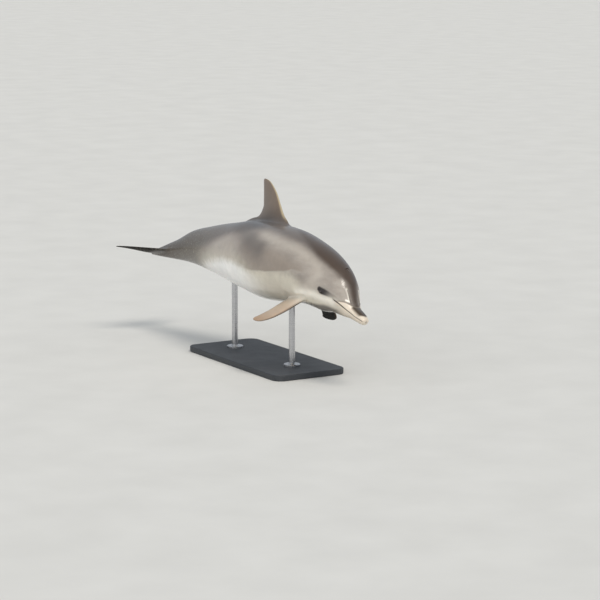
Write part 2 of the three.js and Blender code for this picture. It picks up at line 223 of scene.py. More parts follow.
def walk_spine():
    """Spine points, walked back from the snout and then moved so that mid trunk is in place."""
    middles = np.arange(0, BODY_LENGTH, SPINE_STEP) + SPINE_STEP / 2
    points = np.vstack([np.zeros(3), np.cumsum(-SPINE_STEP * axes_at(middles)[0], 0)])
    return points - points[MID_TRUNK // SPINE_STEP] + [0, 0, SPINE_HEIGHT]


SPINE = walk_spine()


def frames(at):
    """Origin, forward, left and up at each distance behind the snout."""
    at = np.asarray(at, float)
    inside = np.clip(at, 0, BODY_LENGTH)
    stations = np.arange(len(SPINE)) * SPINE_STEP
    origin = np.stack([np.interp(inside, stations, SPINE[:, axis]) for axis in range(3)], -1)
    forward, left, up = axes_at(inside)
    return origin + forward * (inside - at)[..., None], forward, left, up


def closing(at):
    """How far the section has opened: 0 at the two ends of the body, 1 all along it."""
    front = np.clip((NOSE - at) / NOSE, 0, 1)
    rear = np.clip((at - TAIL_END + TAIL_ROUND) / TAIL_ROUND, 0, 1)
    return np.sqrt(np.clip(1 - front**2, 0, 1)) * np.sqrt(np.clip(1 - rear**2, 0, 1))


def power(value, exponent):
    """A power that keeps the sign."""
    return np.sign(value) * np.abs(value) ** exponent


SLOPE_ANGLE = 0.01  # step round the body between the points whose slope gives the normal
FITTING_STEPS = 8  # of the search for the station of a point
TAIL_MARGIN = 4  # length of the rounded tail's end, where every point counts as outside the body
OUTSIDE = 2.0  # share of the section given to such a point


def plain_skin(at, angle):
    """The body's surface without folds. The angle runs from the back towards the left side."""
    full = np.clip(at, NOSE, TAIL_END - TAIL_ROUND)
    top = np.cos(angle) >= 0
    exponent = 2 / np.where(top, square_up(full), square_down(full))
    size = closing(at)
    out = size * half(full) * power(np.sin(angle), exponent)
    rise = size * np.where(top, above(full), below(full)) * power(np.cos(angle), exponent)
    rise = rise + (1 - size) * np.where(at < NOSE, mouth_up(0), 0)
    origin, _, left, up = frames(at)
    return origin + left * out[..., None] + up * rise[..., None]


def skin_normal(at, angle):
    """The way out of the plain skin, from its slopes along the body and round it."""
    along = np.clip(at, NOSE + 1, TAIL_END - TAIL_ROUND - 1)
    back = plain_skin(along + 1, angle) - plain_skin(along - 1, angle)
    around = plain_skin(along, angle + SLOPE_ANGLE) - plain_skin(along, angle - SLOPE_ANGLE)
    normal = unit(np.cross(back, around))
    outward = plain_skin(along, angle) - frames(along)[0]
    normal = normal * np.sign(dot(normal, outward))[..., None]
    # The tip of the snout faces forward.
    forward = frames(at)[1]
    ahead = np.clip((NOSE - at) / NOSE, 0, 1)[..., None]
    return unit(normal * np.sqrt(1 - ahead**2) + forward * ahead)


def locate(points, at):
    """Station, angle and share of the section (1 is the surface) of points near the stations given."""
    at = np.array(at, float)
    for _ in range(FITTING_STEPS):
        origin, forward, _, _ = frames(at)
        at = at - dot(points - origin, forward)
    origin, _, left, up = frames(at)
    out = dot(points - origin, left)
    rise = dot(points - origin, up)
    full = np.clip(at, NOSE, TAIL_END - 1)
    top = rise >= 0
    squareness = np.where(top, square_up(full), square_down(full))
    sine = (np.abs(out) / half(full)) ** squareness
    cosine = (np.abs(rise) / np.where(top, above(full), below(full))) ** squareness
    angle = np.arctan2(np.sign(out) * np.sqrt(sine), np.sign(rise) * np.sqrt(cosine))
    share = (sine + cosine) ** (1 / squareness)
    return at, angle, np.where(at > TAIL_END - TAIL_MARGIN, OUTSIDE, share)


# ---------------------------------------------------------------- folds of the skin


LEAST_CLOSING = 0.05  # share of the section that the two ends keep here, so that no radius is 0


def mouth_angle(at):
    """Angle of the mouth line at a station."""
    full = np.clip(at, NOSE, GAPE)
    rise = mouth_up(full)
    share = np.clip(np.abs(rise) / below(full), 0, 1) ** (square_down(full) / 2)
    return np.pi - np.arccos(share)


def girth_radius(at):
    """Radius of a circle about as large as the section, to turn angles into millimetres over the skin."""
    full = np.clip(at, NOSE, TAIL_END - TAIL_ROUND)
    return (half(full) + below(full)) / 2 * np.maximum(closing(at), LEAST_CLOSING)


# Where the melon's foot meets the beak: degrees down from the back, distance behind the snout.
CREASE = ((0, 119), (15, 121), (33, 128), (52, 146), (67, 165), (80, 184), (90, 204), (180, 230))
crease_at = monotone(CREASE)

# Soft swells and hollows, in millimetres: how high, how far behind the snout, half its length, degrees from
# the back, and half its breadth.
SWELLS = (
    (-1.6, 286, 24, 84, 13),  # hollow in front of the eye
    (2.0, 330, 34, 76, 12),  # brow
    (5.0, 470, 55, 132, 50),  # shoulder
    (-5.0, 660, 50, 140, 52),  # hollow behind the flipper
)
# The same round the mouth, but with the distance below the mouth line instead of the degrees.
MOUTH_SWELLS = (
    (-2.0, GAPE + 5, 4, 0, 11),  # fold behind the corner
    (2.6, 262, 26, 22, 20),  # cheek
    (2.0, 150, 60, 16, 10),  # the lower jaw's flank
)
# A fade is where a fold starts and where it is full, in millimetres behind the snout.
MOUTH_BREADTH = 1.9  # half the breadth of the mouth's groove
MOUTH_FADE = (GAPE + 6, GAPE - 12)  # at the corner of the mouth
SNOUT_FADE = (-6, 16)  # at its tip
# The roll of each lip: its distance from the mouth line, half its breadth, and its height.
LIP_ROLL = (5.5, 3.4, 1.3)
CREASE_BREADTH = 4.5  # half the breadth of the crease between beak and melon
CREASE_SIDE = (92, 78)  # degrees from the back where the crease starts and is full
# The round foot of the melon: its height, its distance behind the crease, and half its breadth.
MELON_FOOT = (2.2, 13, 9)
# The ridge and the groove down each side of the melon's front: height, degrees from the back, and half the
# breadth.
MELON_RIDGES = ((2.4, 37, 7), (-1.6, 30, 5))
RIDGE_FADES = ((120, 165), (236, 196))
# Folds where the lowered head creases the throat: depth, distance behind the snout at the keel, half the
# breadth, and how far forward it runs for each degree up the side.
THROAT_FOLDS = ((2.2, 402, 7, 0.4), (1.6, 446, 8, 0.3))
THROAT_SIDE = (105, 150)  # degrees from the back where the folds start and are full
# The flank's long muscles: their height and length, how they slant, and where they start.
FLANK_WAVE = (1.5, 150, 2.2, 600)
WAVE_FADES = ((450, 700), (2250, 1900))
# The blowhole: lift of the slit, of its rim and of the plug in it; then where the crescent and the rim end,
# as turns from the rear of the ring.
BLOWHOLE_LIFTS = (-7.5, 2.2, 1.8)
BLOWHOLE_ENDS = {"slit": (1.5, 1.05), "rim": (1.9, 1.0)}
BLOWHOLE_RIM = (6, 4)  # distance of the rim outside the slit, and half its breadth
PLUG_SHARE = 0.7  # of the ring's radius that the plug fills
# Soft places on the midline of the belly: height, distance behind the snout, half the length and half the
# breadth.
KEEL_SPOTS = (
    (-3.0, 1130, 13, 5),  # navel
    (1.2, 1740, 18, 10),  # swell round the vent
    (-4.0, 1740, 12, 2.6),  # vent
)
# The genital slit: its fades, then height and half the breadth of the swell round it, and depth and half the
# breadth of the slit.
SLIT_FADES = ((1530, 1550), (1690, 1665))
SLIT_SWELL = (1.8, 13)
SLIT_DEPTH = (5.5, 2.4)
EAR_HOLE = (1.6, 1.8)  # depth and half the breadth
# The folds die out where the body closes: at the snout, and at the tail.
FOLD_ENDS = ((0, 14), (TAIL_END, TAIL_END - 30))


def between(fades, at):
    """1 between a front and a rear fade, and 0 beyond them."""
    front, rear = fades
    return smooth(*front, at) * smooth(*rear, at)


def fold_lift(at, angle, folds):
    """How far folds lift the skin (or sink it, below 0), in millimetres."""
    turn = np.abs(angle)
    degrees = np.degrees(turn)
    radius = girth_radius(at)
    arc = radius * math.pi / 180
    below_lip = (turn - mouth_angle(at)) * radius
    mouth = smooth(*MOUTH_FADE, at)
    lift = mouth * -folds.mouth_depth * bump(below_lip, MOUTH_BREADTH) * smooth(*SNOUT_FADE, at)
    apart, breadth, height = LIP_ROLL
    for lip in (-apart, apart):
        lift += mouth * height * bump(below_lip - lip, breadth)
    # The crease between beak and melon, and the melon's round foot behind it.
    behind = at - crease_at(degrees)
    side = smooth(*CREASE_SIDE, degrees)
    height, back, breadth = MELON_FOOT
    crease = -folds.crease_depth * bump(behind, CREASE_BREADTH)
    lift += side * (crease + height * bump(behind - back, breadth))
    ridge = between(RIDGE_FADES, at)
    for height, line, breadth in MELON_RIDGES:
        lift += ridge * height * bump((degrees - line) * arc, breadth)
    for height, middle, length, around, breadth in SWELLS:
        lift += height * bump(at - middle, length) * bump((degrees - around) * arc, breadth)
    for height, middle, length, under, breadth in MOUTH_SWELLS:
        lift += height * bump(at - middle, length) * bump(below_lip - under, breadth)
    throat = smooth(*THROAT_SIDE, degrees)
    for depth, middle, breadth, slant in THROAT_FOLDS:
        lift -= throat * depth * bump(at - middle + (180 - degrees) * slant, breadth)
    lift += blowhole_lift(at, angle) + ear_lift(at, degrees) + keel_lift(at, degrees)
    height, length, slant, start = FLANK_WAVE
    lift += height * np.sin((at - start) / length + turn * slant) * between(WAVE_FADES, at)
    return lift


def round_blowhole(at, angle):
    """Distance from the middle of the blowhole's ring, and the turn from its rear."""
    ahead = BLOWHOLE["at"] - at - BLOWHOLE["shift"]
    aside = angle * above(np.clip(at, NOSE, TAIL_END))
    return np.hypot(ahead, aside), np.abs(np.arctan2(aside, -ahead))


def blowhole_slit(at, angle):
    """Share of the blowhole's crescent at each place."""
    reach, sweep = round_blowhole(at, angle)
    return bump(reach - BLOWHOLE["radius"], BLOWHOLE["slit"]) * smooth(*BLOWHOLE_ENDS["slit"], sweep)


def blowhole_lift(at, angle):
    """A crescent slit with its horns forward, in a low rim, round a soft plug."""
    reach, sweep = round_blowhole(at, angle)
    slit_lift, rim_lift, plug_lift = BLOWHOLE_LIFTS
    outside, breadth = BLOWHOLE_RIM
    ring = BLOWHOLE["radius"]
    rim = rim_lift * bump(reach - ring - outside, breadth) * smooth(*BLOWHOLE_ENDS["rim"], sweep)
    return slit_lift * blowhole_slit(at, angle) + rim + plug_lift * bump(reach, ring * PLUG_SHARE)


def keel_lift(at, degrees):
    """Navel, genital slit and vent, on the midline of the belly."""
    aside = np.radians(180 - degrees) * girth_radius(at)
    swell, swell_breadth = SLIT_SWELL
    depth, breadth = SLIT_DEPTH
    lift = between(SLIT_FADES, at) * (swell * bump(aside, swell_breadth) - depth * bump(aside, breadth))
    for height, middle, length, breadth in KEEL_SPOTS:
        lift += height * bump(at - middle, length) * bump(aside, breadth)
    return lift


def ear_lift(at, degrees):
    """The ear hole, a pinprick behind the eye."""
    aside = np.radians(degrees - EAR["angle"]) * girth_radius(at)
    depth, breadth = EAR_HOLE
    return -depth * bump(np.hypot(at - EAR["at"], aside), breadth)


def skin(at, angle, folds, lift=0.0):
    """The finished surface of the body, in millimetres, with an extra lift along its normal."""
    height = fold_lift(at, angle, folds) * between(FOLD_ENDS, at) + lift
    return plain_skin(at, angle) + skin_normal(at, angle) * height[..., None]


def angle_at_height(at, rise):
    """Angle from the back of the skin point a height above the spine, from 0 to pi."""
    top = rise >= 0
    limit = np.where(top, above(at), below(at))
    exponent = np.where(top, square_up(at), square_down(at)) / 2
    return np.arccos(np.sign(rise) * np.clip(np.abs(rise) / limit, 0, 1) ** exponent)


# ---------------------------------------------------------------- markings


def path_distance(at, degrees, path):
    """Millimetres over the skin from a path of (distance behind the snout, degrees from the back)."""
    around = girth_radius(at) * math.pi / 180
    nearest = np.full(at.shape, np.inf)
    for (at_from, turn_from), (at_to, turn_to) in zip(path, path[1:]):
        run = at_to - at_from
        rise = (turn_to - turn_from) * around
        ahead = at - at_from
        aside = (degrees - turn_from) * around
        share = np.clip((ahead * run + aside * rise) / (run * run + rise * rise), 0, 1)
        nearest = np.minimum(nearest, np.hypot(ahead - share * run, aside - share * rise))
    return nearest


def over_line(at, degrees, line):
    """Millimetres over the skin by which a point lies on the back's side of a line."""
    edge = np.interp(at, [row[0] for row in line], [row[1] for row in line])
    return (edge - degrees) * girth_radius(at) * math.pi / 180


# Edges of the markings: distance behind the snout, and degrees down from the back.
NAPE = (
    (110, 2), (124, 9), (150, 12), (228, 14), (250, 20), (288, 34), (376, 40), (480, 38), (556, 31),
    (660, 22), (764, 12), (900, -4),
)
CAPE = (
    (300, 22), (450, 42), (600, 40), (800, 41), (1000, 36), (1100, 40), (1300, 56), (1500, 72), (1700, 88),
    (1900, 100),
)
STREAK = (
    (1060, 50), (1016, 49), (888, 51), (752, 54), (588, 52), (476, 53), (424, 58), (396, 71), (400, 90),
    (428, 113),
)
FIELD_LOW = (
    (420, 86), (448, 82), (512, 84), (568, 87), (608, 94), (690, 100), (760, 104), (956, 109), (1080, 108),
    (1200, 108),
)
FIELD_HIGH = ((440, 68), (560, 66), (700, 62), (1130, 58))
SIDE = (
    (0, 90), (240, 98), (307, 109), (364, 112), (435, 112), (500, 103), (560, 97), (1100, 108), (1800, 112),
)
CHEEK_BAND = ((226, 101), (300, 108), (364, 111), (435, 118), (500, 126))
WHITE = (
    (800, 122), (1000, 114), (1088, 109), (1220, 105), (1368, 107), (1544, 118), (1652, 127), (1820, 146),
)
SMUDGE = ((1290, 46), (1130, 60), (1005, 69), (930, 73))
# Below this edge the throat has its own grey, made darker as painted shade of the head's underside.
THROAT = (
    (60, 112), (100, 116), (136, 120), (236, 124), (290, 128), (385, 143), (470, 152), (560, 162), (700, 178),
)
BEAK_TOP = ((8, -60), (22, -20), (36, 34), (46, 58), (68, 56), (90, 50), (114, 45), (121, 34), (130, 6))
EYE_PATCH_TOP = ((170, 76), (223, 77), (267, 81), (311, 83.5), (350, 86.5), (356, 90))
EYE_PATCH_LOW = ((170, 86), (242, 89), (270, 93), (314, 98), (350, 95), (356, 90))
# The painted highlight runs along this ridge of the melon's front.
MELON_RIDGE = ((216, 32), (187, 35), (159, 41), (169, 56))
# Path of the painted shade along the groove of the melon's front.
MELON_GROOVE = ((208, 30), (182, 31.5), (156, 34), (142, 36))

# Markings that follow a path: the path, and half the breadth in millimetres.
STRIPES = {
    "streak": (STREAK, 34),
    "ridge": (MELON_RIDGE, 5.5),
    "painted_groove_shade": (MELON_GROOVE, 3.5),
    "smudge": (SMUDGE, 80),
    "band": (CHEEK_BAND, 25),
}
# Where markings fade along the body: the distance behind the snout where each is gone, and where it is full.
FADES = {
    "streak": (1080, 940),
    "field_front": (440, 520),
    "field_rear": (1240, 1060),
    "white_front": (760, 1240),
    "white_rear": (1880, 1600),
    "patch_thin": (176, 250),
    "patch_dark": (236, 310),
    "jaw": (215, 120),
    "mouth_shade_front": (2, 12),
    "mouth_shade_rear": (GAPE + 10, GAPE - 14),
    "loin": (1010, 1280),
    "under_front": (430, 560),
    "under_rear": (1330, 1040),
}
# The same round the body, in degrees from the back.
TURNS = {"lips": (110, 84), "chin": (84, 110), "crease": (96, 84), "saddle": (60, 30), "under": (116, 142)}
TENTH = 100  # millimetres in the unit of the distances that are stored
FIELD_SOFT = (0.15, -0.75)  # where the field over the flipper fades at its upper edge
FIELD_DEPTH = 1.9  # the most that a point counts as inside the field
PATCH_REAR = (355, 0.8)  # rear end of the eye patch, and how blunt it is
PATCH_SHARES = (0.4, 0.6)  # of the thin and the dark part
BEAK_EDGE = (6, -6)  # how softly the beak's colour meets the crease
CREASE_SHADE = (0.8, 3.4)  # strength and half the breadth of the painted shade along the crease
# The painted shade along the mouth's groove: half its breadth at the tip, what it gains, and from where to
# where.
MOUTH_SHADE_BREADTHS = (1.7, 1.6, 80, 180)
SADDLE = (1270, 210)  # distance behind the snout, and half the length
TAIL_START = (1500, 1000)  # where the tail's share starts, and the length over which it grows by 1
FIN_MARKS = ("dorsal", "flipper", "fluke", "fin_nose", "fin_rear", "fin_out", "inner", "matt")


def markings(at, angle):
    """What the markings do at each place, by name.

    Distances are in tenths of a metre, and shares from 0 to 1.
    """
    degrees = np.degrees(np.abs(angle))

    def above_line(line):
        return over_line(at, degrees, line) / TENTH

    def stripe(name):
        path, breadth = STRIPES[name]
        return bump(path_distance(at, degrees, path), breadth)

    def fade(*names):
        return math.prod(smooth(*FADES[name], at) for name in names)

    def turned(name):
        return smooth(*TURNS[name], degrees)

    field = np.minimum(above_line(FIELD_LOW), FIELD_DEPTH)
    field_soft = smooth(*FIELD_SOFT, above_line(FIELD_HIGH)) * fade("field_rear", "field_front")
    rear, bluntness = PATCH_REAR
    patch = np.minimum(above_line(EYE_PATCH_LOW), -above_line(EYE_PATCH_TOP))
    patch = np.minimum(patch, (rear - at) * bluntness / TENTH)
    thin, dark = PATCH_SHARES
    behind_crease = at - crease_at(degrees)
    beak = smooth(*BEAK_EDGE, behind_crease) * turned("lips") + turned("chin") * fade("jaw")
    strength, breadth = CREASE_SHADE
    painted_groove_shade = stripe("painted_groove_shade") + strength * bump(behind_crease, breadth) * turned("crease")
    tip, added, start, end = MOUTH_SHADE_BREADTHS
    from_mouth_line = (np.abs(angle) - mouth_angle(at)) * girth_radius(at)
    painted_slit_shade = bump(from_mouth_line, tip + added * smooth(start, end, at)) * fade("mouth_shade_rear", "mouth_shade_front")
    saddle_middle, saddle_length = SADDLE
    tail_start, tail_length = TAIL_START
    return {
        "nape": above_line(NAPE),
        "cape": above_line(CAPE),
        "streak": stripe("streak") * fade("streak"),
        "field": field,
        "field_soft": field_soft,
        "side": -above_line(SIDE),
        "white": -above_line(WHITE),
        "white_soft": fade("white_front", "white_rear"),
        "patch": patch,
        "patch_soft": thin * fade("patch_thin") + dark * fade("patch_dark"),
        "beak_top": above_line(BEAK_TOP),
        "beak": beak,
        # Painted highlight along the melon's ridge.
        "ridge": stripe("ridge"),
        "painted_groove_shade": painted_groove_shade,
        # Painted shade in the mouth's groove and in the blowhole's slit.
        "painted_slit_shade": np.maximum(painted_slit_shade, blowhole_slit(at, angle)),
        "tail": (at - tail_start) / tail_length,
        "throat": -above_line(THROAT),
        "loin": fade("loin"),
        "smudge": stripe("smudge"),
        "saddle": bump(at - saddle_middle, saddle_length) * turned("saddle"),
        # Painted shade: the underside of the chest and belly, greyed where it turns down.
        "under": turned("under") * fade("under_rear", "under_front"),
        "band": stripe("band"),
        **{name: 0 * at for name in FIN_MARKS},
    }


MARK_NAMES = tuple(markings(np.array([500.0]), np.array([1.0])))
LAYERS = [MARK_NAMES[start : start + 4] for start in range(0, len(MARK_NAMES), 4)]


# ---------------------------------------------------------------- the skin's mesh


def row_stations():
    """Distance behind the snout of every row of the grid."""
    nose = NOSE * (1 - np.cos(np.linspace(0, math.pi / 2, NOSE_ROWS + 1)[:-1]))
    parts = [np.arange(start, end, step) for start, end, step in ROW_STEPS]
    tail = TAIL_END - TAIL_ROUND + TAIL_ROUND * np.sin(np.linspace(0, math.pi / 2, TAIL_ROWS))
    return np.concatenate([nose, *parts, tail])


def column_angles(at):
    """Angle of every column at each station: evenly spread, but gathered along the mouth line on the head."""
    side = COLUMNS // 2
    even = np.pi * np.arange(side + 1) / side
    first = MOUTH_COLUMN - len(LIP_STEPS) // 2
    knots = [0, *range(first, first + len(LIP_STEPS)), side]
    places = np.arange(side + 1)
    table = np.empty((len(at), side + 1))
    lines = mouth_angle(at)
    radii = girth_radius(np.maximum(at, NOSE))
    holds = smooth(*MOUTH_GATHER, at)
    for row, (line, radius, hold) in enumerate(zip(lines, radii, holds)):
        gathered = np.interp(places, knots, [0, *(line + np.array(LIP_STEPS) / radius), np.pi])
        table[row] = even * (1 - hold) + gathered * hold
    return np.hstack([-table[:, :0:-1], table])


# Places cut finer than the grid: from and to behind the snout, degrees from the back, and cuts.
FINE_PLACES = ((300, 366, 0, 16, 1), (1085, 1175, 168, 181, 2), (1500, 1790, 172, 181, 3))
STATION_OF_ROW = row_stations()
ANGLES = column_angles(STATION_OF_ROW)


class Skin:
    """The one mesh that covers the animal, and the markings stored on its points."""

    def __init__(self, folds):
        self.folds = folds
        self.bm = bmesh.new()
        self.layers = [self.bm.verts.layers.float_color.new("marks_%d" % n) for n in range(len(LAYERS))]
        rows = len(STATION_OF_ROW) - 1
        middle = Matrix.Translation((COLUMNS / 2, rows / 2, 0))
        spread = middle @ Matrix.Diagonal((COLUMNS / 2, rows / 2, 1, 1))
        bmesh.ops.create_grid(self.bm, x_segments=COLUMNS, y_segments=rows, size=1, matrix=spread)
        for place in FINE_PLACES:
            self.index_points()
            self.refine(*place)
        self.index_points()

    def index_points(self):
        """Finds the grid's own points, at whole rows and columns."""
        self.point = {}
        for vert in self.bm.verts:
            row, column = round(vert.co.y), round(vert.co.x)
            if abs(vert.co.y - row) + abs(vert.co.x - column) < ON_GRID:
                self.point[row, column] = vert

    def refine(self, low_at, high_at, low_degrees, high_degrees, cuts):
        """Cuts the faces of a place finer, for a fold too small for the grid."""
        rows = np.searchsorted(STATION_OF_ROW, (low_at, high_at))
        turns = np.degrees(np.abs(ANGLES[rows[0]]))
        lanes = [column for column, turn in enumerate(turns) if low_degrees <= turn <= high_degrees]
        # Dictionaries, because a set's order would change from run to run.
        spots = dict.fromkeys(self.point[row, lane] for row in range(rows[0], rows[1] + 1) for lane in lanes)
        near = [(spot, edge) for spot in spots for edge in spot.link_edges]
        edges = dict.fromkeys(edge for spot, edge in near if edge.other_vert(spot) in spots)
        bmesh.ops.subdivide_edges(self.bm, edges=list(edges), cuts=cuts, use_grid_fill=True)

    def place(self, verts, spots, marks):
        """Moves points to spots in millimetres and writes their markings."""
        table = np.zeros((len(verts), 4 * len(LAYERS)))
        for number, name in enumerate(MARK_NAMES):
            table[:, number] = marks[name]
        for vert, spot, row in zip(verts, (spots * MM).tolist(), table.tolist()):
            vert.co = spot
            for number, layer in enumerate(self.layers):
                vert[layer] = row[4 * number : 4 * number + 4]

    def wrap(self):
        """Wraps the flat grid round the body."""
        verts = list(self.bm.verts)
        spots = np.array([vert.co.to_tuple() for vert in verts])
        column = np.clip(spots[:, 0], 0, COLUMNS)
        row = np.clip(spots[:, 1], 0, len(STATION_OF_ROW) - 1)
        low = np.minimum(column.astype(int), COLUMNS - 1)
        first = np.minimum(row.astype(int), len(STATION_OF_ROW) - 2)
        right = column - low
        down = row - first
        at = STATION_OF_ROW[first] * (1 - down) + STATION_OF_ROW[first + 1] * down
        upper = ANGLES[first, low] * (1 - right) + ANGLES[first, low + 1] * right
        lower = ANGLES[first + 1, low] * (1 - right) + ANGLES[first + 1, low + 1] * right
        angle = upper * (1 - down) + lower * down
        self.place(verts, skin(at, angle, self.folds), markings(at, angle))

    def open_hole(self, rows, columns):
        """Takes the faces out of a block of the grid. Returns its edge as (row, column), side by side."""
        inside = {}
        for row in range(rows[0], rows[1]):
            for column in range(columns[0], columns[1]):
                corner = self.point[row, column]
                across = self.point[row + 1, column + 1]
                inside.update((face, None) for face in corner.link_faces if across in face.verts)
        bmesh.ops.delete(self.bm, geom=list(inside), context="FACES")
        low, high = columns
        down = [(row, high) for row in range(rows[0], rows[1])]
        over = [(rows[1], column) for column in range(high, low, -1)]
        back = [(row, low) for row in range(rows[1], rows[0], -1)]
        home = [(rows[0], column) for column in range(low, high)]
        return down, over, back, home

    def grow(self, keys, rings):
        """Extrudes the edge of a hole ring by ring. Each ring is its spots and its markings."""
        loop = [self.point[key] for key in keys]
        for spots, marks in rings:
            edges = [self.bm.edges.get(pair) for pair in zip(loop, loop[1:] + loop[:1])]
            made = set(bmesh.ops.extrude_edge_only(self.bm, edges=edges)["geom"])
            tips = ([edge.other_vert(vert) for edge in vert.link_edges] for vert in loop)
            loop = [next(vert for vert in near if vert in made) for near in tips]
            self.place(loop, spots, marks)

    def finish(self, name, material):
        """Closes the seam and the poles, faces everything outward and makes the object."""
        bmesh.ops.remove_doubles(self.bm, verts=self.bm.verts, dist=MERGE_DISTANCE)
        bmesh.ops.recalc_face_normals(self.bm, faces=self.bm.faces)
        return make_object(name, self.bm, material)


def make_object(name, bm, material):
    """A smooth-shaded object from a bmesh."""
    for face in bm.faces:
        face.smooth = True
    mesh = bpy.data.meshes.new(name)
    bm.to_mesh(mesh)
    bm.free()
    mesh.materials.append(material)
    piece = bpy.data.objects.new(name, mesh)
    bpy.context.scene.collection.objects.link(piece)
    return piece


# ---------------------------------------------------------------- fins


def spline(points, share):
    """An even Catmull-Rom curve through the points, with the share of its length from 0 to 1."""
    points = np.array(points, float)
    last = len(points) - 1
    place = np.clip(share, 0, 1) * last
    start = np.minimum(place.astype(int), last - 1)
    part = (place - start)[..., None]
    before, here, there, after = (points[np.clip(start + shift, 0, last)] for shift in (-1, 0, 1, 2))
    leave = (there - before) / 2
    arrive = (after - here) / 2
    cubic = (2 * here - 2 * there + leave + arrive) * part**3
    return cubic + (3 * there - 3 * here - 2 * leave - arrive) * part**2 + leave * part + here


class Fin:
    """A fin's surface: chord sections between two outlines, with a round nose and a fine rear edge."""

    TIP_SHARE = 0.06  # of the fin's height over which its tip closes
    FOOT_SHARE = 0.7  # of the height in which the foot is looked for
    FOOT_STEPS = 71  # places looked at there
    HALVINGS = 10  # of the step in which the foot was found

    def __init__(self, shape, origin, chord, span):
        self.shape = shape
        self.origin = origin
        self.chord = chord
        self.span = span
        self.normal = np.cross(chord, span)
        self.thickness = monotone(shape["thickness"])

    def surface(self, share, turn):
        """Points at a share of the height, turned round the section from the nose."""
        front = spline(self.shape["leading"], share)
        rear = spline(self.shape["trailing"], share)
        past = np.clip((share - 1 + self.TIP_SHARE) / self.TIP_SHARE, 0, 1)
        size = np.sqrt(np.clip(1 - past**2, 0, 1))
        chordwise = 0.5 + np.cos(turn) / 2 * size
        full = (1 + np.cos(turn)) / 2
        foil = np.sin(turn) * (FOIL_TAIL + (1 - FOIL_TAIL) * np.sqrt(full))
        flat = rear + (front - rear) * chordwise[..., None]
        out = self.thickness(share) / 2 * foil * size
        spots = self.origin + self.chord * flat[..., :1] + self.span * flat[..., 1:]
        return spots + self.normal * out[..., None]

    def on_body(self, share, turn):
        """Station, angle and share of the body's section at points of the fin's surface."""
        start = np.full(turn.shape, float(self.shape["at"]))
        return locate(self.surface(share, turn), start)

    def footprint(self, turn):
        """Where the surface leaves the body: share of the height, distance behind the snout and angle."""
        shares = np.linspace(0, self.FOOT_SHARE, self.FOOT_STEPS)
        outside = self.on_body(*np.meshgrid(shares, turn, indexing="ij"))[2] > 1
        inner = [np.flatnonzero(~column) for column in outside.T]
        low = np.array([shares[steps[-1]] if len(steps) else 0.0 for steps in inner])
        high = low + shares[1]
        for _ in range(self.HALVINGS):
            middle = (low + high) / 2
            out = self.on_body(middle, turn)[2] > 1
            high = np.where(out, middle, high)
            low = np.where(out, low, middle)
        at, angle, _ = self.on_body(high, turn)
        return high, at, angle

    def fillet(self, turn):
        """Radius of the fillet, from the one at the nose to the one at the rear."""
        front, rear = self.shape["fillet"]
        ahead = (1 + np.cos(turn)) / 2
        return rear + (front - rear) * ahead


def spread_turns(fin, sides):
    """Turn round the fin's section of each point along the four sides of its hole."""
    down, over, back, home = (len(side) for side in sides)
    nose = math.radians(fin.shape["nose"])
    wide = math.cos(nose)
    falling = np.arccos(wide - 2 * wide * np.arange(down) / down)
    tail = math.pi - nose + 2 * nose * np.arange(over) / over
    rising = 2 * math.pi - np.arccos(-wide + 2 * wide * np.arange(back) / back)
    front = 2 * math.pi - nose + 2 * nose * np.arange(home) / home
    return np.concatenate([falling, tail, rising, front])


HOLE_MARGIN = 15  # millimetres between the foot of a fin's fillet and the grid that is left round it
MARGIN_SHARE = 0.3  # the most that this may be of the body's radius, where the body is thin
PROBES = 72  # places round a fin's foot that show how large its hole has to be
HOLE_END = 2  # rows that the grid keeps behind a hole
FOOT_END = 6  # millimetres that a fillet's foot keeps from the tail's end
SMOOTHINGS = 3  # of the ways out round a fin's foot
FLAT_RINGS = 5  # rings from the edge of the hole to the foot of the fillet
FILLET_RINGS = 6
TIP_RINGS = 9
TIP_START = 0.9  # share of the height where the tip's rings start
SLOPE_SHARE = 0.01  # step up the fin between the points whose distance gives its slope
LONGEST_FILLET = 0.25  # share of the height that a fillet may take
FILLET_MARK = 0.12  # how far out the fin's own markings count the fillet


def grid_rim(sides):
    """Row and column of the points round a hole, with their stations and their angles."""
    keys = [key for side in sides for key in side]
    ends = np.array(keys)
    return keys, STATION_OF_ROW[ends[:, 0]], ANGLES[ends[:, 0], ends[:, 1]]


def open_fin_hole(body, fin):
    """Takes out the skin under a fin's foot and its fillet."""
    probe = np.linspace(0, 2 * math.pi, PROBES + 1)[:-1]
    _, at, angle = fin.footprint(probe)
    radius = girth_radius(at)
    clear = fin.fillet(probe) + np.minimum(HOLE_MARGIN, radius * MARGIN_SHARE)
    rows = [int(np.searchsorted(STATION_OF_ROW, end)) for end in ((at - clear).min(), (at + clear).max())]
    rows[1] = min(rows[1], len(STATION_OF_ROW) - 1 - HOLE_END)
    lanes = ANGLES[(rows[0] + rows[1]) // 2]
    edges = ((angle - clear / radius).min(), (angle + clear / radius).max())
    columns = [int(np.searchsorted(lanes, edge)) for edge in edges]
    return body.open_hole(rows, columns)


def ways_out(at, angle, radius):
    """For each point of a fin's foot, the way out from its middle: parts along the body and round it."""
    ahead = np.roll(at, -2) - np.roll(at, 2)
    aside = (np.roll(angle, -2) - np.roll(angle, 2)) * radius
    length = np.hypot(ahead, aside) + TINY
    out_at, out_around = aside / length, -ahead / length
    outward = np.sign(np.sum(out_at * (at - at.mean()) + out_around * (angle - angle.mean()) * radius))
    out_at, out_around = out_at * outward, out_around * outward
    for _ in range(SMOOTHINGS):
        out_at = (np.roll(out_at, 1) + out_at + np.roll(out_at, -1)) / 3
        out_around = (np.roll(out_around, 1) + out_around + np.roll(out_around, -1)) / 3
    return out_at, out_around


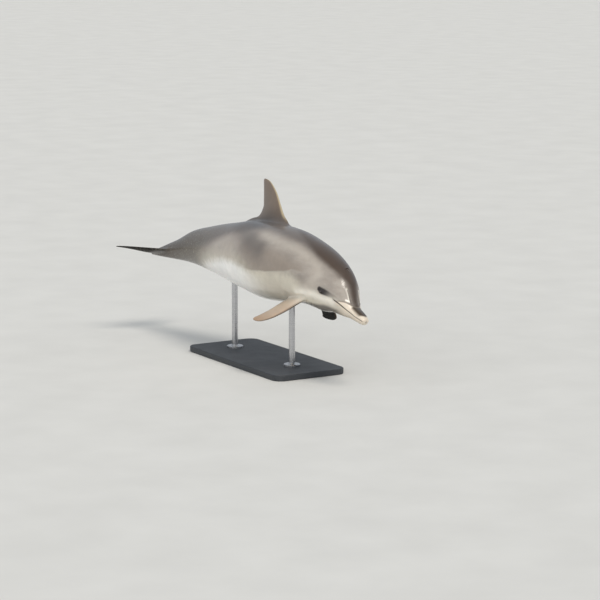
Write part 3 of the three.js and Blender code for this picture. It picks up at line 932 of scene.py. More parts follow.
def add_fin(body, fin, kind, rows_up):
    """Opens the skin round a fin's foot and grows the fin out of the hole."""
    sides = open_fin_hole(body, fin)
    keys, rim_at, rim_angle = grid_rim(sides)
    turn = spread_turns(fin, sides)
    best = None
    for way in (1, -1):
        foot = fin.footprint(way * turn)
        gap = np.hypot(foot[1] - rim_at, (foot[2] - rim_angle) * girth_radius(rim_at)).sum()
        if best is None or gap < best[0]:
            best = (gap, way * turn, foot)
    _, turn, (share, at, angle) = best
    # The line where the fillet starts lies outside the footprint.
    reach = fin.fillet(turn)
    radius = girth_radius(at)
    out_at, out_around = ways_out(at, angle, radius)
    foot_at = np.minimum(at + out_at * reach, TAIL_END - FOOT_END)
    foot_angle = angle + out_around * reach / radius
    marks = markings(at, angle)
    rings = []
    for step in np.linspace(0, 1, FLAT_RINGS + 1)[1:]:
        ring_at = rim_at + (foot_at - rim_at) * step
        ring_angle = rim_angle + (foot_angle - rim_angle) * step
        rings.append((skin(ring_at, ring_angle, body.folds), markings(ring_at, ring_angle)))
    start = rings[-1][0]
    corner = fin.surface(share, turn)
    pace = np.linalg.norm(fin.surface(share + SLOPE_SHARE, turn) - corner, axis=1) / SLOPE_SHARE
    lift_off = share + np.minimum(reach / pace, LONGEST_FILLET)
    end = fin.surface(lift_off, turn)
    for step in np.linspace(0, 1, FILLET_RINGS + 1)[1:]:
        spots = start * (1 - step) ** 2 + corner * 2 * step * (1 - step) + end * step**2
        rings.append((spots, blend_marks(marks, fin, kind, turn, step * FILLET_MARK)))
    tip = TIP_START + (1 - TIP_START) * np.sin(np.linspace(0, math.pi / 2, TIP_RINGS + 1))
    for step in (*np.linspace(0, TIP_START, rows_up)[1:], *tip[1:]):
        height = lift_off + (1 - lift_off) * step
        out = FILLET_MARK + (1 - FILLET_MARK) * step
        rings.append((fin.surface(height, turn), blend_marks(marks, fin, kind, turn, out)))
    body.grow(keys, rings)


# Where the markings of a fin fade in: the first three by how far out from its foot, and the others by the
# place along its chord, which is 1 at the nose.
FIN_FADES = {
    "kind": (0, 0.34),
    "inner": (0, 0.2),
    "edges": (0.02, 0.2),
    "nose": (0.93, 1.0),
    "rear": (0.2, 0.0),
}
INNER_EDGE = (0.25, -0.25)  # how softly the inner face's colour meets the outer's


def blend_marks(marks, fin, kind, turn, out):
    """Markings on a fin: those of the skin at its foot, with the fin's own coming in."""
    chordwise = (1 + np.cos(turn)) / 2
    mixed = dict(marks)
    mixed[kind] = smooth(*FIN_FADES["kind"], out) + 0 * turn
    if kind == "flipper":
        # The inner face carries the flipper's near-black painted shade.
        outer = np.sin(turn) * np.sign(dot(fin.normal, fin.outward))
        mixed["inner"] = smooth(*INNER_EDGE, outer) * smooth(*FIN_FADES["inner"], out)
    mixed["matt"] = mixed["inner"] + mixed["fluke"]
    for edge in ("nose", "rear"):
        mixed["fin_" + edge] = smooth(*FIN_FADES[edge], chordwise) * smooth(*FIN_FADES["edges"], out)
    mixed["fin_out"] = out + 0 * turn
    return mixed


def dorsal_fin():
    """The fin on the back, upright in the animal's own frame."""
    origin, forward, _, up = frames(np.array(float(DORSAL["at"])))
    return Fin(DORSAL, origin, forward, up)


def fluke(side):
    """One half of the tail's flukes, level in the animal's own frame."""
    origin, forward, left, _ = frames(np.array(float(FLUKE["at"])))
    return Fin(FLUKE, origin, forward, left * side)


def flipper(side):
    """A flipper, held as its pose says."""
    pose = FLIPPER_POSES[side]
    at = np.array(float(FLIPPER["at"]))
    _, forward, left, up = frames(at)
    root = plain_skin(at, np.array(side * (math.pi - math.asin(FLIPPER["low"]))))
    span = unit(-pose["back"] * forward + side * pose["out"] * left - pose["down"] * up)
    chord = unit(forward - span * dot(forward, span))
    twist = math.radians(pose["twist"])
    chord = chord * math.cos(twist) + np.cross(span, chord) * math.sin(twist)
    limb = Fin(FLIPPER, root, chord, span)
    limb.outward = left * side
    return limb


# ---------------------------------------------------------------- eyes

LID_OPENING = (12.5, 6.2)  # half the length and half the height of the opening, in millimetres
LID_THICKNESS = 1.4
LID_TAPER = 0.35  # how much leaner than an ellipse the opening is towards its corners
LID_EASE = 3.0  # how softly, in millimetres, the globe's swell comes out of the skin
LID_FADE = (26, 17)  # distance from the globe's middle where the swell starts and is full
# The lids' folds: how far outside the opening each runs, as a share of it, and half its breadth.
UPPER_FOLD = (0.85, 0.16)
LOWER_FOLD = (0.7, 0.2)
FOLD_DEPTHS = (1.3, 0.7)  # of the upper fold and the lower
FOLD_FADE = (1.3, 0.9)  # where the upper fold ends and is full, in half lengths of the opening
SOCKET_GAP = 0.5  # between the globe and the cup it sits in
LID_REACH = 39  # how far round the eye the skin is remade
LID_RINGS = (0.1, 0.2, 0.3, 0.4, 0.49, 0.57, 0.64, 0.7, 0.76, 0.81, 0.86, 0.9, 0.94, 0.97, 1.0)
LIFT_FADE = (0, 0.25)  # shares of the way in over which the lids' own shape comes in
# The margin: share of the opening, and height over the globe, of each ring that rolls in to it.
MARGIN_RINGS = ((0.97, LID_THICKNESS * 0.85), (0.94, LID_THICKNESS * 0.45), (0.93, 0.15), (0.95, 0.12))
CUP_RINGS = 10
GLOBE_PARTS = (64, 48)  # round the globe, and from front to rear
IRIS_BULGE = (0.02, 26)  # height of the bulge as a share of the radius, and half its breadth in degrees


def eye_frame(side):
    """Centre of the globe, and the forward, up and outward axes there."""
    at = np.array(float(EYE["at"]))
    origin, forward, left, up = frames(at)
    angle = angle_at_height(at, np.array(float(EYE["up"])))
    out = half(at) * power(np.sin(angle), 2 / square_down(at))
    centre = origin + left * side * (out - EYE["sink"]) + up * EYE["up"]
    return centre, forward, up, left * side


def lid_lift(side, at, angle):
    """How far the lids stand out of the skin, in millimetres."""
    centre, forward, up, outward = eye_frame(side)
    spots = plain_skin(at, angle)
    ahead = dot(spots - centre, forward)
    rise = dot(spots - centre, up)
    ring = ahead**2 + rise**2
    shell = EYE["radius"] + LID_THICKNESS
    globe = np.sqrt(np.maximum(shell**2 - ring, 0)) - dot(spots - centre, outward)
    swell = (globe + np.sqrt(globe**2 + LID_EASE**2)) / 2 * smooth(*LID_FADE, np.sqrt(ring))
    long_way, short_way = LID_OPENING
    beyond = np.hypot(ahead / long_way, rise / short_way) - 1
    place, breadth = UPPER_FOLD
    upper = bump(beyond - place, breadth) * smooth(*FOLD_FADE, np.abs(ahead) / long_way) * (rise > 0)
    place, breadth = LOWER_FOLD
    lower = bump(beyond - place, breadth) * (rise < 0)
    upper_depth, lower_depth = FOLD_DEPTHS
    return swell - upper_depth * upper - lower_depth * lower


def add_eye(body, side):
    """Remakes the skin round an eye: creased lids, a rolled margin and the cup behind the globe."""
    centre, forward, up, outward = eye_frame(side)
    middle_row = int(np.searchsorted(STATION_OF_ROW, EYE["at"]))
    middle_angle = side * float(angle_at_height(np.array(float(EYE["at"])), np.array(float(EYE["up"]))))
    rows = [int(np.searchsorted(STATION_OF_ROW, EYE["at"] + shift)) for shift in (-LID_REACH, LID_REACH)]
    lanes = ANGLES[middle_row]
    swing = LID_REACH / float(half(EYE["at"]))
    columns = [int(np.searchsorted(lanes, middle_angle + shift)) for shift in (-swing, swing)]
    sides = body.open_hole(rows, columns)
    keys, rim_at, rim_angle = grid_rim(sides)
    rim = plain_skin(rim_at, rim_angle) - centre
    turn = np.arctan2(dot(rim, up), dot(rim, forward))
    long_way, short_way = LID_OPENING
    ahead = long_way * np.cos(turn)
    rise = short_way * np.sin(turn) * np.abs(np.sin(turn)) ** LID_TAPER
    slit_at = EYE["at"] - ahead
    slit_angle = side * angle_at_height(slit_at, EYE["up"] + rise)
    rings = []
    for step in LID_RINGS:
        at = rim_at + (slit_at - rim_at) * step
        angle = rim_angle + (slit_angle - rim_angle) * step
        lift = lid_lift(side, at, angle) * smooth(*LIFT_FADE, step)
        rings.append((skin(at, angle, body.folds, lift), markings(at, angle)))
    marks = rings[-1][1]
    # The margin rolls in to the globe, then the cup runs round behind it to a point.
    direction = forward * ahead[:, None] + up * rise[:, None]
    flat = np.linalg.norm(direction, axis=1)
    direction = direction / flat[:, None]

    def ring_round(radius, tilt):
        aside = direction * np.sin(tilt)[:, None]
        return centre + radius * (aside + outward * np.cos(tilt)[:, None])

    for inset, height in MARGIN_RINGS:
        radius = EYE["radius"] + height
        rings.append((ring_round(radius, np.arcsin(flat * inset / radius)), marks))
    radius = EYE["radius"] + SOCKET_GAP
    first = np.arcsin(flat / radius)
    for step in np.linspace(0, 1, CUP_RINGS + 1)[1:]:
        rings.append((ring_round(radius, first + (math.pi - first) * step), marks))
    body.grow(keys, rings)


def eye_globe(side, material):
    """The glass globe, with a slight bulge over the iris."""
    centre, forward, up, outward = eye_frame(side)
    bm = bmesh.new()
    gaze = bm.verts.layers.float.new("gaze")
    around, along = GLOBE_PARTS
    bmesh.ops.create_uvsphere(bm, u_segments=around, v_segments=along, radius=EYE["radius"])
    axis = Vector((0, 0, 1))
    height, breadth = IRIS_BULGE
    for vert in bm.verts:
        vert[gaze] = math.degrees(vert.co.angle(axis))
        vert.co *= 1 + height * bump(vert[gaze], breadth)
    basis = Matrix((forward, up, outward)).transposed().to_4x4()
    bmesh.ops.transform(bm, matrix=basis, verts=bm.verts)
    bmesh.ops.translate(bm, vec=centre, verts=bm.verts)
    bmesh.ops.scale(bm, vec=(MM, MM, MM), verts=bm.verts)
    bmesh.ops.recalc_face_normals(bm, faces=bm.faces)
    return make_object("glass_eye_" + ("left" if side > 0 else "right"), bm, material)


# ---------------------------------------------------------------- materials


def linear(code):
    """Linear red, green, blue and alpha of an sRGB hex colour."""
    parts = [int(code[start : start + 2], 16) / 255 for start in (0, 2, 4)]
    return (*(p / 12.92 if p <= 0.04045 else ((p + 0.055) / 1.055) ** 2.4 for p in parts), 1.0)


def colour(name, description, code):
    """A colour that a user may change."""
    return FloatVectorProperty(
        name=name, description=description, subtype="COLOR", size=4, min=0, max=1, default=linear(code)
    )


def connect(tree, node, inputs):
    """Sets a node's inputs. Each is a value, or the socket or node that is linked to it."""
    for key, value in inputs.items():
        if isinstance(value, bpy.types.Node):
            value = next(socket for socket in value.outputs if socket.enabled)
        if isinstance(value, bpy.types.NodeSocket):
            tree.links.new(value, node.inputs[key])
        else:
            node.inputs[key].default_value = value


def add(tree, kind, inputs, **settings):
    """Adds a node with its settings and links."""
    node = tree.nodes.new(kind)
    for name, value in settings.items():
        setattr(node, name, value)
    connect(tree, node, inputs)
    return node


# The mixing node's inputs: the share of the second colour, and the two colours.
SHARE, UNDER, OVER = 0, 6, 7
EVEN = (1, 1, 1)  # a pattern that isn't stretched along any axis
MOST = {"From Min": 0.2, "From Max": 0.8}  # the values that most of a noise pattern lies between
GLASS_GLOSS = (0.04, 0.09)  # roughness of the eye's polish, from and to


def start_material(name, finish, patterns):
    """An empty material: its tree, its shader set to a finish, and its noise patterns by name.

    A pattern is the size of its patches in millimetres, its detail, and how dense it is along each axis.
    """
    material = bpy.data.materials.new(name)
    material.use_nodes = True
    tree = material.node_tree
    tree.nodes.clear()
    shader = add(tree, "ShaderNodeBsdfPrincipled", finish)
    add(tree, "ShaderNodeOutputMaterial", {"Surface": shader})
    place = add(tree, "ShaderNodeTexCoord", {}).outputs["Object"]
    noises = {}
    for key, (size, detail, density) in patterns.items():
        spread = add(tree, "ShaderNodeMapping", {"Vector": place, "Scale": density})
        inputs = {"Vector": spread, "Scale": 1 / (size * MM), "Detail": detail}
        noises[key] = add(tree, "ShaderNodeTexNoise", inputs)
    return material, tree, shader, noises


# The skin's coats of colour, each over the ones before it: the colour, how much it covers, and where. A place
# is a marking or pattern used as a share, or one with the values where it starts and is full and how far its
# edge wanders. Distances are in tenths of a metre.
COATS = (
    ("flank_light", 1.0, ("streaks", 0.3, 0.7, 0)),
    ("loin", 0.85, ("loin",)),
    ("cheek", 1.0, ("side", -0.46, 0.46, 0.24)),
    # Painted shade on the underside of the chest and belly.
    ("under", 0.25, ("under",)),
    ("field", 1.0, ("field_soft",), ("field", -0.07, 0.07, 0.18)),
    ("back", 0.9, ("cape", -0.42, 0.42, 0.28)),
    ("saddle", 1.0, ("saddle",)),
    ("smudge", 0.75, ("smudge",)),
    ("streak", 0.8, ("streak",)),
    ("tail", 1.0, ("tail", -0.08, 0.42, 0)),
    ("cheek", 0.7, ("white_soft",), ("white", -1.1, 0.2, 0.3)),
    ("belly", 1.0, ("white_soft",), ("white", -0.34, 0.34, 0.34)),
    ("tail_dark", 0.75, ("tail", 0.3, 0.95, 0)),
    ("cape", 1.0, ("nape", -0.26, 0.2, 0.08)),
    ("cape", 0.35, ("nape", -0.7, 0.6, 0.08)),
    # Painted shade: the throat's grey is darkened to stand for the shade under the head.
    ("throat", 0.9, ("throat", -0.16, 0.16, 0.12)),
    ("pale_band_and_ridge_highlight", 0.95, ("band",)),
    ("eye_patch", 1.0, ("patch_soft",), ("patch", -0.05, 0.05, 0.04)),
    ("beak", 1.0, ("beak",)),
    ("beak_top", 1.0, ("beak",), ("beak_top", -0.26, 0.12, 0.1)),
    # Painted highlight along the melon's ridge.
    ("pale_band_and_ridge_highlight", 0.8, ("ridge",)),
    # Painted shade along the melon's groove and the crease round the beak.
    ("crease", 0.6, ("painted_groove_shade",)),
    # Painted shade in the mouth's groove and the blowhole's slit.
    ("crease", 1.0, ("painted_slit_shade",)),
    ("dorsal", 1.0, ("dorsal",)),
    ("dorsal_foot", 0.8, ("dorsal",), ("fin_out", 0.5, 0.1, 0)),
    ("flipper", 1.0, ("flipper",)),
    ("flipper_tip", 1.0, ("flipper",), ("fin_out", 0.3, 1.0, 0)),
    # Painted shade: the inner faces of the flippers, near black.
    ("painted_flipper_shade", 1.0, ("inner",)),
    ("fluke", 1.0, ("fluke",)),
    # Painted highlight along the dorsal fin's leading edge.
    ("dorsal_nose_highlight", 0.7, ("dorsal",), ("fin_nose",)),
    # Painted shade along the flipper's leading edge; its rear edge below is a darker tone of its own.
    ("flipper_edge_tone_and_shade", 0.7, ("flipper",), ("fin_nose",)),
    ("flipper_edge_tone_and_shade", 0.5, ("flipper",), ("fin_rear",)),
    ("cheek", 0.25, ("speckle", 0.52, 0.72, 0), ("tail", -0.1, 0.4, 0)),
)
# What mottles every colour: the pattern, its values from and to, and the shade at each.
SHADES = (
    ("mottle", 0.25, 0.75, 0.93, 1.05),
    ("cloud", 0.3, 0.7, 0.94, 1.05),
    ("grain", 0.2, 0.8, 0.965, 1.03),
)
WET_GLOSS = (0.34, 0.46)  # roughness of the skin, from its smoothest patches to its roughest
GLAZE = 0.8  # weight of the clear coat
MATT_ROUGHNESS = 0.4  # what the unglazed places add to the roughness
SKIN_RELIEF = (0.13, 1.2)  # strength of the skin's relief, and its depth in millimetres
MOTTLE_SHARE = 0.7  # of that depth
LINE_SHARE = 0.25


def skin_material(paint):
    """Wet dolphin skin, cast and glazed.

    Countershaded pigment lies under a clear wet coat, so highlights are small and bright over soft colour.
    The flukes and the inner faces of the flippers have no glaze and stay dark; the inner faces are near black
    as painted shade.
    """
    # The skin's IOR is near water's 1.33, and its clear coat's is a little higher.
    finish = {
        "IOR": 1.35,
        "Coat Roughness": 0.17,
        "Coat IOR": 1.4,
        "Subsurface Weight": 0.06,
        "Subsurface Scale": 0.004,
        "Subsurface Radius": (1.0, 0.6, 0.45),
    }
    # Real skin has ridges half a millimetre apart. The grain and the lines are coarser, so that they show.
    patterns = {
        "cloud": (160, 4, EVEN),
        "mottle": (38, 4, EVEN),
        "speckle": (9, 5, EVEN),
        "grain": (3.2, 3, EVEN),
        "streaks": (60, 5, (0.35, 1.0, 1.6)),
        "lines": (5, 3, (2.4, 0.7, 0.7)),
    }
    material, tree, shader, marks = start_material("wet_glazed_skin", finish, patterns)
    for number, names in enumerate(LAYERS):
        layer = add(tree, "ShaderNodeAttribute", {}, attribute_name="marks_%d" % number)
        split = add(tree, "ShaderNodeSeparateColor", {"Color": layer.outputs["Color"]})
        marks.update(zip(names, [*split.outputs[:3], layer.outputs["Alpha"]]))
    base = paint.flank
    for tint, strength, *places in COATS:
        share = strength
        for mark, *edge in places:
            value = marks[mark]
            if edge:
                low, high, wander = edge
                inputs = {0: marks["mottle"], 1: wander, 2: value}
                value = add(tree, "ShaderNodeMath", inputs, operation="MULTIPLY_ADD")
                inputs = {"Value": value, "From Min": low + wander / 2, "From Max": high + wander / 2}
                value = add(tree, "ShaderNodeMapRange", inputs, interpolation_type="SMOOTHSTEP")
            share = add(tree, "ShaderNodeMath", {0: share, 1: value}, operation="MULTIPLY")
        inputs = {SHARE: share, UNDER: base, OVER: getattr(paint, tint)}
        base = add(tree, "ShaderNodeMix", inputs, data_type="RGBA")
    for pattern, low, high, dark, light in SHADES:
        inputs = {"Value": marks[pattern], "From Min": low, "From Max": high, "To Min": dark, "To Max": light}
        shade = add(tree, "ShaderNodeMapRange", inputs)
        inputs = {SHARE: 1, UNDER: base, OVER: shade}
        base = add(tree, "ShaderNodeMix", inputs, data_type="RGBA", blend_type="MULTIPLY")
    smoothest, roughest = WET_GLOSS
    inputs = {"Value": marks["mottle"], "From Min": 0.25, "From Max": 0.8}
    rough = add(tree, "ShaderNodeMapRange", {**inputs, "To Min": smoothest, "To Max": roughest})
    inputs = {0: marks["matt"], 1: MATT_ROUGHNESS, 2: rough}
    rough = add(tree, "ShaderNodeMath", inputs, operation="MULTIPLY_ADD")
    glaze = add(tree, "ShaderNodeMath", {0: marks["matt"], 1: -GLAZE, 2: GLAZE}, operation="MULTIPLY_ADD")
    # Fine lines of the skin run round the body; water lies over them.
    lines = add(tree, "ShaderNodeMath", {0: marks["lines"], 1: LINE_SHARE}, operation="MULTIPLY")
    inputs = {0: marks["mottle"], 1: MOTTLE_SHARE, 2: lines}
    relief = add(tree, "ShaderNodeMath", inputs, operation="MULTIPLY_ADD")
    strength, depth = SKIN_RELIEF
    inputs = {"Height": relief, "Strength": strength, "Distance": depth * MM}
    surface = add(tree, "ShaderNodeBump", inputs)
    connect(tree, shader, {"Base Color": base, "Roughness": rough, "Coat Weight": glaze, "Normal": surface})
    return material


# Where the iris meets the pupil and the dark of the globe: degrees from the middle of the gaze.
IRIS_EDGES = ((15, 17), (30, 34))
IRIS_WANDER = 6.0  # degrees that the threads of the iris move its edges by


def eye_material(paint):
    """Blown dark glass, polished: a brown iris ring round a black pupil under a clear front.

    The iris's threads are finer than a third of a millimetre; they are drawn coarser so that they show.
    """
    finish = {"IOR": 1.5, "Coat Weight": 1.0, "Coat Roughness": 0.02}
    patterns = {"threads": (1.1, 3, EVEN)}
    material, tree, shader, noises = start_material("polished_dark_glass", finish, patterns)
    threads = noises["threads"]
    gaze = add(tree, "ShaderNodeAttribute", {}, attribute_name="gaze").outputs["Fac"]
    wander = add(tree, "ShaderNodeMath", {0: threads, 1: IRIS_WANDER, 2: gaze}, operation="MULTIPLY_ADD")
    inputs = {SHARE: threads, UNDER: paint.iris, OVER: paint.iris_dark}
    iris = add(tree, "ShaderNodeMix", inputs, data_type="RGBA")
    base = paint.pupil
    for (low, high), ring in zip(IRIS_EDGES, (iris, paint.eye_rim)):
        share = add(tree, "ShaderNodeMapRange", {"Value": wander, "From Min": low, "From Max": high})
        base = add(tree, "ShaderNodeMix", {SHARE: share, UNDER: base, OVER: ring}, data_type="RGBA")
    low, high = GLASS_GLOSS
    rough = add(tree, "ShaderNodeMapRange", {**MOST, "Value": threads, "To Min": low, "To Max": high})
    connect(tree, shader, {"Base Color": base, "Roughness": rough})
    return material


def plain_material(name, finish, patterns, tints, cover, gloss, relief):
    """A material with three patterns: for its colour, its gloss and its relief.

    The cover is how far the second tint goes over the first. The gloss is the roughness from and to, and the
    relief its strength and its depth in millimetres.
    """
    material, tree, shader, noises = start_material(name, finish, patterns)
    inputs = {"Value": noises["colour"], "From Min": 0.3, "From Max": 0.75, "To Max": cover}
    share = add(tree, "ShaderNodeMapRange", inputs)
    under, over = tints
    base = add(tree, "ShaderNodeMix", {SHARE: share, UNDER: under, OVER: over}, data_type="RGBA")
    low, high = gloss
    inputs = {**MOST, "Value": noises["gloss"], "To Min": low, "To Max": high}
    rough = add(tree, "ShaderNodeMapRange", inputs)
    strength, depth = relief
    inputs = {"Height": noises["relief"], "Strength": strength, "Distance": depth * MM}
    surface = add(tree, "ShaderNodeBump", inputs)
    connect(tree, shader, {"Base Color": base, "Roughness": rough, "Normal": surface})
    return material


def powder_coat(paint):
    """Matt charcoal powder coat, sprayed and baked: a fine orange peel and a soft sheen."""
    patterns = {"colour": (90, 4, EVEN), "gloss": (90, 4, EVEN), "relief": (1.8, 2, EVEN)}
    tints = (paint.base_coat, paint.base_dust)
    return plain_material("charcoal_powder_coat", {}, patterns, tints, 0.25, (0.46, 0.6), (0.35, 0.4))


def brushed_steel(paint):
    """Stainless steel bar, brushed round: rings that stretch the highlights along the rod.

    The brushing is finer than a millimetre; its rings are drawn 9 mm apart so that they show.
    """
    rings = (9, 1, (0.04, 0.04, 1.0))
    patterns = {"colour": rings, "gloss": (45, 3, EVEN), "relief": rings}
    tints = (paint.steel, paint.steel_dark)
    finish = {"Metallic": 1.0}
    return plain_material("brushed_stainless_steel", finish, patterns, tints, 0.6, (0.24, 0.32), (0.05, 0.1))


def studio_floor(settings):
    """Pale matt studio floor, painted with a roller: nearly even, with no gloss."""
    patterns = {"colour": (400, 3, EVEN), "gloss": (400, 3, EVEN), "relief": (3, 2, EVEN)}
    tints = (settings.floor, settings.floor_shade)
    finish = {"Specular IOR Level": 0.05}
    return plain_material("pale_floor_paint", finish, patterns, tints, 1.0, (0.85, 0.95), (0.1, 0.2))


# ---------------------------------------------------------------- settings


class DolphinFolds(bpy.types.PropertyGroup):
    """Depths of the skin's main folds"""

    mouth_depth: FloatProperty(
        name="Mouth depth",
        description="Depth of the closed mouth's groove, in millimetres",
        default=4.5,
        min=0,
        max=8,
    )
    crease_depth: FloatProperty(
        name="Melon crease",
        description="Depth of the crease round the beak's root, in millimetres",
        default=3.2,
        min=0,
    )


class DolphinPaint(bpy.types.PropertyGroup):
    """Colours of the skin and the eyes"""

    cape: colour("Cape", "Dark cape of the head and nape", "4a3c31")
    back: colour("Back", "Back behind the nape", "625953")
    saddle: colour("Saddle", "Dark skin round the foot of the dorsal fin", "332f2e")
    flank: colour("Flank", "Flank", "958c83")
    flank_light: colour("Light flank", "Lighter clouds of the flank", "a79e94")
    streak: colour("Streak", "Light streak of the flank", "b4aba0")
    smudge: colour("Smudge", "Dark smudge under the dorsal fin", "5d5651")
    field: colour("Field", "Dark field over the flipper", "968a7e")
    cheek: colour("Cheek", "Lower side", "d1c9b8")
    # The pale band's own colour, also laid along the melon's ridge as a painted highlight.
    pale_band_and_ridge_highlight: colour("Cheek band", "Pale band under the eye", "f0e9dc")
    # Painted shade: the grey of the underside where it turns down.
    under: colour("Chest", "Shaded chest and front of the belly", "a9a19a")
    belly: colour("Belly", "White patch of the belly", "faf8f4")
    # Painted shade: darker than the throat's own grey, for the shade under the head.
    throat: colour("Throat", "Grey throat", "77716b")
    loin: colour("Loin", "Flank behind the middle", "b8ada2")
    tail: colour("Tail stock", "Tail stock", "584f43")
    tail_dark: colour("Tail end", "Tail stock near the flukes", "3a3029")
    fluke: colour("Flukes", "Flukes", "1d1916")
    dorsal: colour("Dorsal fin", "Dorsal fin", "77685a")
    dorsal_foot: colour("Dorsal foot", "Lower part of the dorsal fin", "4a3e34")
    flipper: colour("Flipper", "Flipper near its root", "c6af96")
    flipper_tip: colour("Flipper tip", "Flipper towards its tip", "a9825b")
    # Painted shade: near black, for the shadow the inner faces lie in.
    painted_flipper_shade: colour("Flipper inside", "Inner faces of the flippers", "120e0c")
    # Painted highlight: the dorsal fin's leading edge, made light as if lit.
    dorsal_nose_highlight: colour("Fin edge", "Leading edge of the dorsal fin", "c9b995")
    # Painted shade along the flippers' leading edges, and the darker tone of their rear edges.
    flipper_edge_tone_and_shade: colour("Fin rear edge", "Dark edges of the fins", "5a4b3f")
    beak: colour("Beak", "Pale lips and beak", "e2d5c3")
    beak_top: colour("Beak top", "Dark top of the beak", "40311f")
    eye_patch: colour("Eye patch", "Dark patch from the eye forward", "190d05")
    # Painted shade: the dark of the mouth line, the blowhole's slit, and the crease and groove of the melon.
    crease: colour("Creases", "Mouth line and creases", "43362d")
    pupil: colour("Pupil", "Pupil", "050404")
    iris: colour("Iris", "Iris", "3a2415")
    iris_dark: colour("Dark iris", "Dark threads of the iris", "170d08")
    eye_rim: colour("Eye white", "The globe outside the iris", "1c1411")


class StandPaint(bpy.types.PropertyGroup):
    """Colours of the stand"""

    base_coat: colour("Base", "Powder coat of the base", "33363a")
    base_dust: colour("Base dust", "Lighter clouds of the powder coat", "44474b")
    steel: colour("Steel", "Brushed steel", "c6c6c8")
    steel_dark: colour("Steel rings", "Darker rings of the brushed steel", "b0b1b4")


class StageSettings(bpy.types.PropertyGroup):
    """Floor, lights and lens"""

    floor: colour("Floor", "Pale floor", "d9d8d4")
    floor_shade: colour("Floor shade", "Slightly darker floor", "d3d2ce")
    sky: colour("Sky light", "Soft light from all round", "dfe6ee")
    sky_strength: FloatProperty(
        name="Sky strength", description="Strength of the soft light", default=0.62, min=0
    )
    key: colour("Key light", "Tint of the main light", "fff9f0")
    key_strength: FloatProperty(
        name="Key strength", description="Strength of the main light", default=1.6, min=0
    )
    fill: colour("Fill light", "Tint of the light from the camera's side", "fffdfa")
    fill_strength: FloatProperty(
        name="Fill strength", description="Strength of the light from the camera's side", default=1.2, min=0
    )
    lens: FloatProperty(
        name="Lens", description="Focal length of the camera", default=145.3, min=1, subtype="DISTANCE_CAMERA"
    )


# ---------------------------------------------------------------- operators

# The CAD nodes that the one skin stands for.
FLESH = (
    "upper_beak", "lower_jaw", "melon", "head", "neck", "chest", "trunk_saddle", "trunk_loin",
    "tail_stock_front", "tail_stock_rear", "tail_root", "dorsal_fin",
    "flipper_left", "flipper_right", "fluke_left", "fluke_right",
)


class DOLPHIN_OT_skin(bpy.types.Operator):
    """Build the animal's one continuous skin, with its folds, lids and fins"""

    bl_idname = "dolphin.skin"
    bl_label = "Skin"

    def execute(self, context):
        scene = context.scene
        body = Skin(scene.dolphin_folds)
        body.wrap()
        for side in (1, -1):
            add_eye(body, side)
            add_fin(body, flipper(side), "flipper", FLIPPER["rings"])
            add_fin(body, fluke(side), "fluke", FLUKE["rings"])
        add_fin(body, dorsal_fin(), "dorsal", DORSAL["rings"])
        piece = body.finish("dolphin_skin", skin_material(scene.dolphin_paint))
        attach(piece, BODY)
        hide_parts(*FLESH)
        return {"FINISHED"}


class DOLPHIN_OT_eyes(bpy.types.Operator):
    """Set a glass globe under the lids of each side"""

    bl_idname = "dolphin.eyes"
    bl_label = "Eyes"

    def execute(self, context):
        material = eye_material(context.scene.dolphin_paint)
        for side, node in ((1, "eye_left"), (-1, "eye_right")):
            piece = eye_globe(side, material)
            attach(piece, BODY)
            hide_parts(node)
        return {"FINISHED"}


class DOLPHIN_OT_stand(bpy.types.Operator):
    """Give the display stand its powder coat and brushed steel"""

    bl_idname = "dolphin.stand"
    bl_label = "Stand"

    def execute(self, context):
        paint = context.scene.dolphin_stand
        steel = brushed_steel(paint)
        finishes = {
            "stand_base": powder_coat(paint),
            "stand_rod_front": steel,
            "stand_rod_rear": steel,
        }
        for node, material in finishes.items():
            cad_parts[node].material_slots[0].material = material
        return {"FINISHED"}


FLOOR_RADIUS = 150  # in metres, out to the horizon
FLOOR_EDGES = 96
FLOOR_DROP = 0.001  # of the floor under the base, so that their faces don't fight
# The lights, with the direction towards each, and how wide it looks in degrees.
LIGHTS = {"key": ((0.6, -0.03, 0.8), 19), "fill": ((0.45, -0.85, 0.3), 100)}
# The camera: its place in metres, the directions right and up in its view, and how far its aim is from the
# middle of the trunk along them.
CAMERA = {"place": (12.83, -7.41, 3.007), "right": (0.5, 0.866, 0), "up": (-0.1355, 0.0782, 0.9877)}
AIM = {"right": 0.153, "up": -0.2423}
SENSOR = 36  # width of the camera's sensor in millimetres
FAR = 500  # how far the camera sees, in metres


def hang(name, data):
    """Puts a light or camera in the scene."""
    thing = bpy.data.objects.new(name, data)
    bpy.context.scene.collection.objects.link(thing)
    return thing


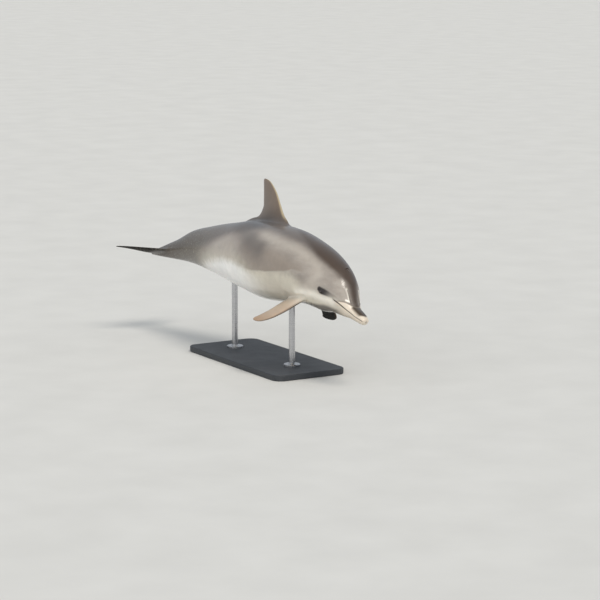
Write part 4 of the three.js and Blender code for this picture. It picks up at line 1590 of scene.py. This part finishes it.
class DOLPHIN_OT_stage(bpy.types.Operator):
    """Lay the pale floor, hang the lights and set the camera"""

    bl_idname = "dolphin.stage"
    bl_label = "Stage"

    def execute(self, context):
        scene = context.scene
        settings = scene.dolphin_stage
        bm = bmesh.new()
        drop = Matrix.Translation((0, 0, -FLOOR_DROP))
        bmesh.ops.create_circle(bm, cap_ends=True, segments=FLOOR_EDGES, radius=FLOOR_RADIUS, matrix=drop)
        make_object("floor", bm, studio_floor(settings))
        world = bpy.data.worlds.new("soft_sky")
        world.use_nodes = True
        background = world.node_tree.nodes["Background"]
        background.inputs["Color"].default_value = settings.sky
        background.inputs["Strength"].default_value = settings.sky_strength
        scene.world = world
        for name, (toward, width) in LIGHTS.items():
            sun = bpy.data.lights.new(name, "SUN")
            sun.angle = math.radians(width)
            sun.energy = getattr(settings, name + "_strength")
            sun.color = getattr(settings, name)[:3]
            hang(name, sun).rotation_euler = Vector(toward).to_track_quat("Z", "Y").to_euler()
        scene.view_settings.view_transform = "Standard"
        shot = bpy.data.cameras.new("camera")
        shot.lens = settings.lens
        shot.sensor_width = SENSOR
        shot.clip_end = FAR
        camera = hang("camera", shot)
        target = Vector((0, 0, SPINE_HEIGHT * MM))
        for way, distance in AIM.items():
            target += Vector(CAMERA[way]) * distance
        camera.location = CAMERA["place"]
        camera.rotation_euler = (target - camera.location).to_track_quat("-Z", "Y").to_euler()
        scene.camera = camera
        return {"FINISHED"}


class DOLPHIN_PT_panel(bpy.types.Panel):
    """The steps that build the model, and what a user may change"""

    bl_idname = "DOLPHIN_PT_panel"
    bl_label = "Dolphin"
    bl_space_type = "VIEW_3D"
    bl_region_type = "UI"
    bl_category = "Dolphin"

    def draw(self, context):
        for step in STEPS:
            self.layout.operator(step.bl_idname)
        for name, group in GROUPS.items():
            box = self.layout.box()
            for field in group.__annotations__:
                box.prop(getattr(context.scene, name), field)


STEPS = (DOLPHIN_OT_skin, DOLPHIN_OT_eyes, DOLPHIN_OT_stand, DOLPHIN_OT_stage)
GROUPS = {
    "dolphin_folds": DolphinFolds,
    "dolphin_paint": DolphinPaint,
    "dolphin_stand": StandPaint,
    "dolphin_stage": StageSettings,
}
CLASSES = (*GROUPS.values(), *STEPS, DOLPHIN_PT_panel)


def register():
    for item in CLASSES:
        bpy.utils.register_class(item)
    for name, group in GROUPS.items():
        setattr(bpy.types.Scene, name, PointerProperty(type=group))


def unregister():
    for name in GROUPS:
        delattr(bpy.types.Scene, name)
    for item in reversed(CLASSES):
        bpy.utils.unregister_class(item)


def main():
    """Builds every piece in order."""
    register()
    bpy.ops.dolphin.skin()
    bpy.ops.dolphin.eyes()
    bpy.ops.dolphin.stand()
    bpy.ops.dolphin.stage()


if __name__ == "__main__":
    main()
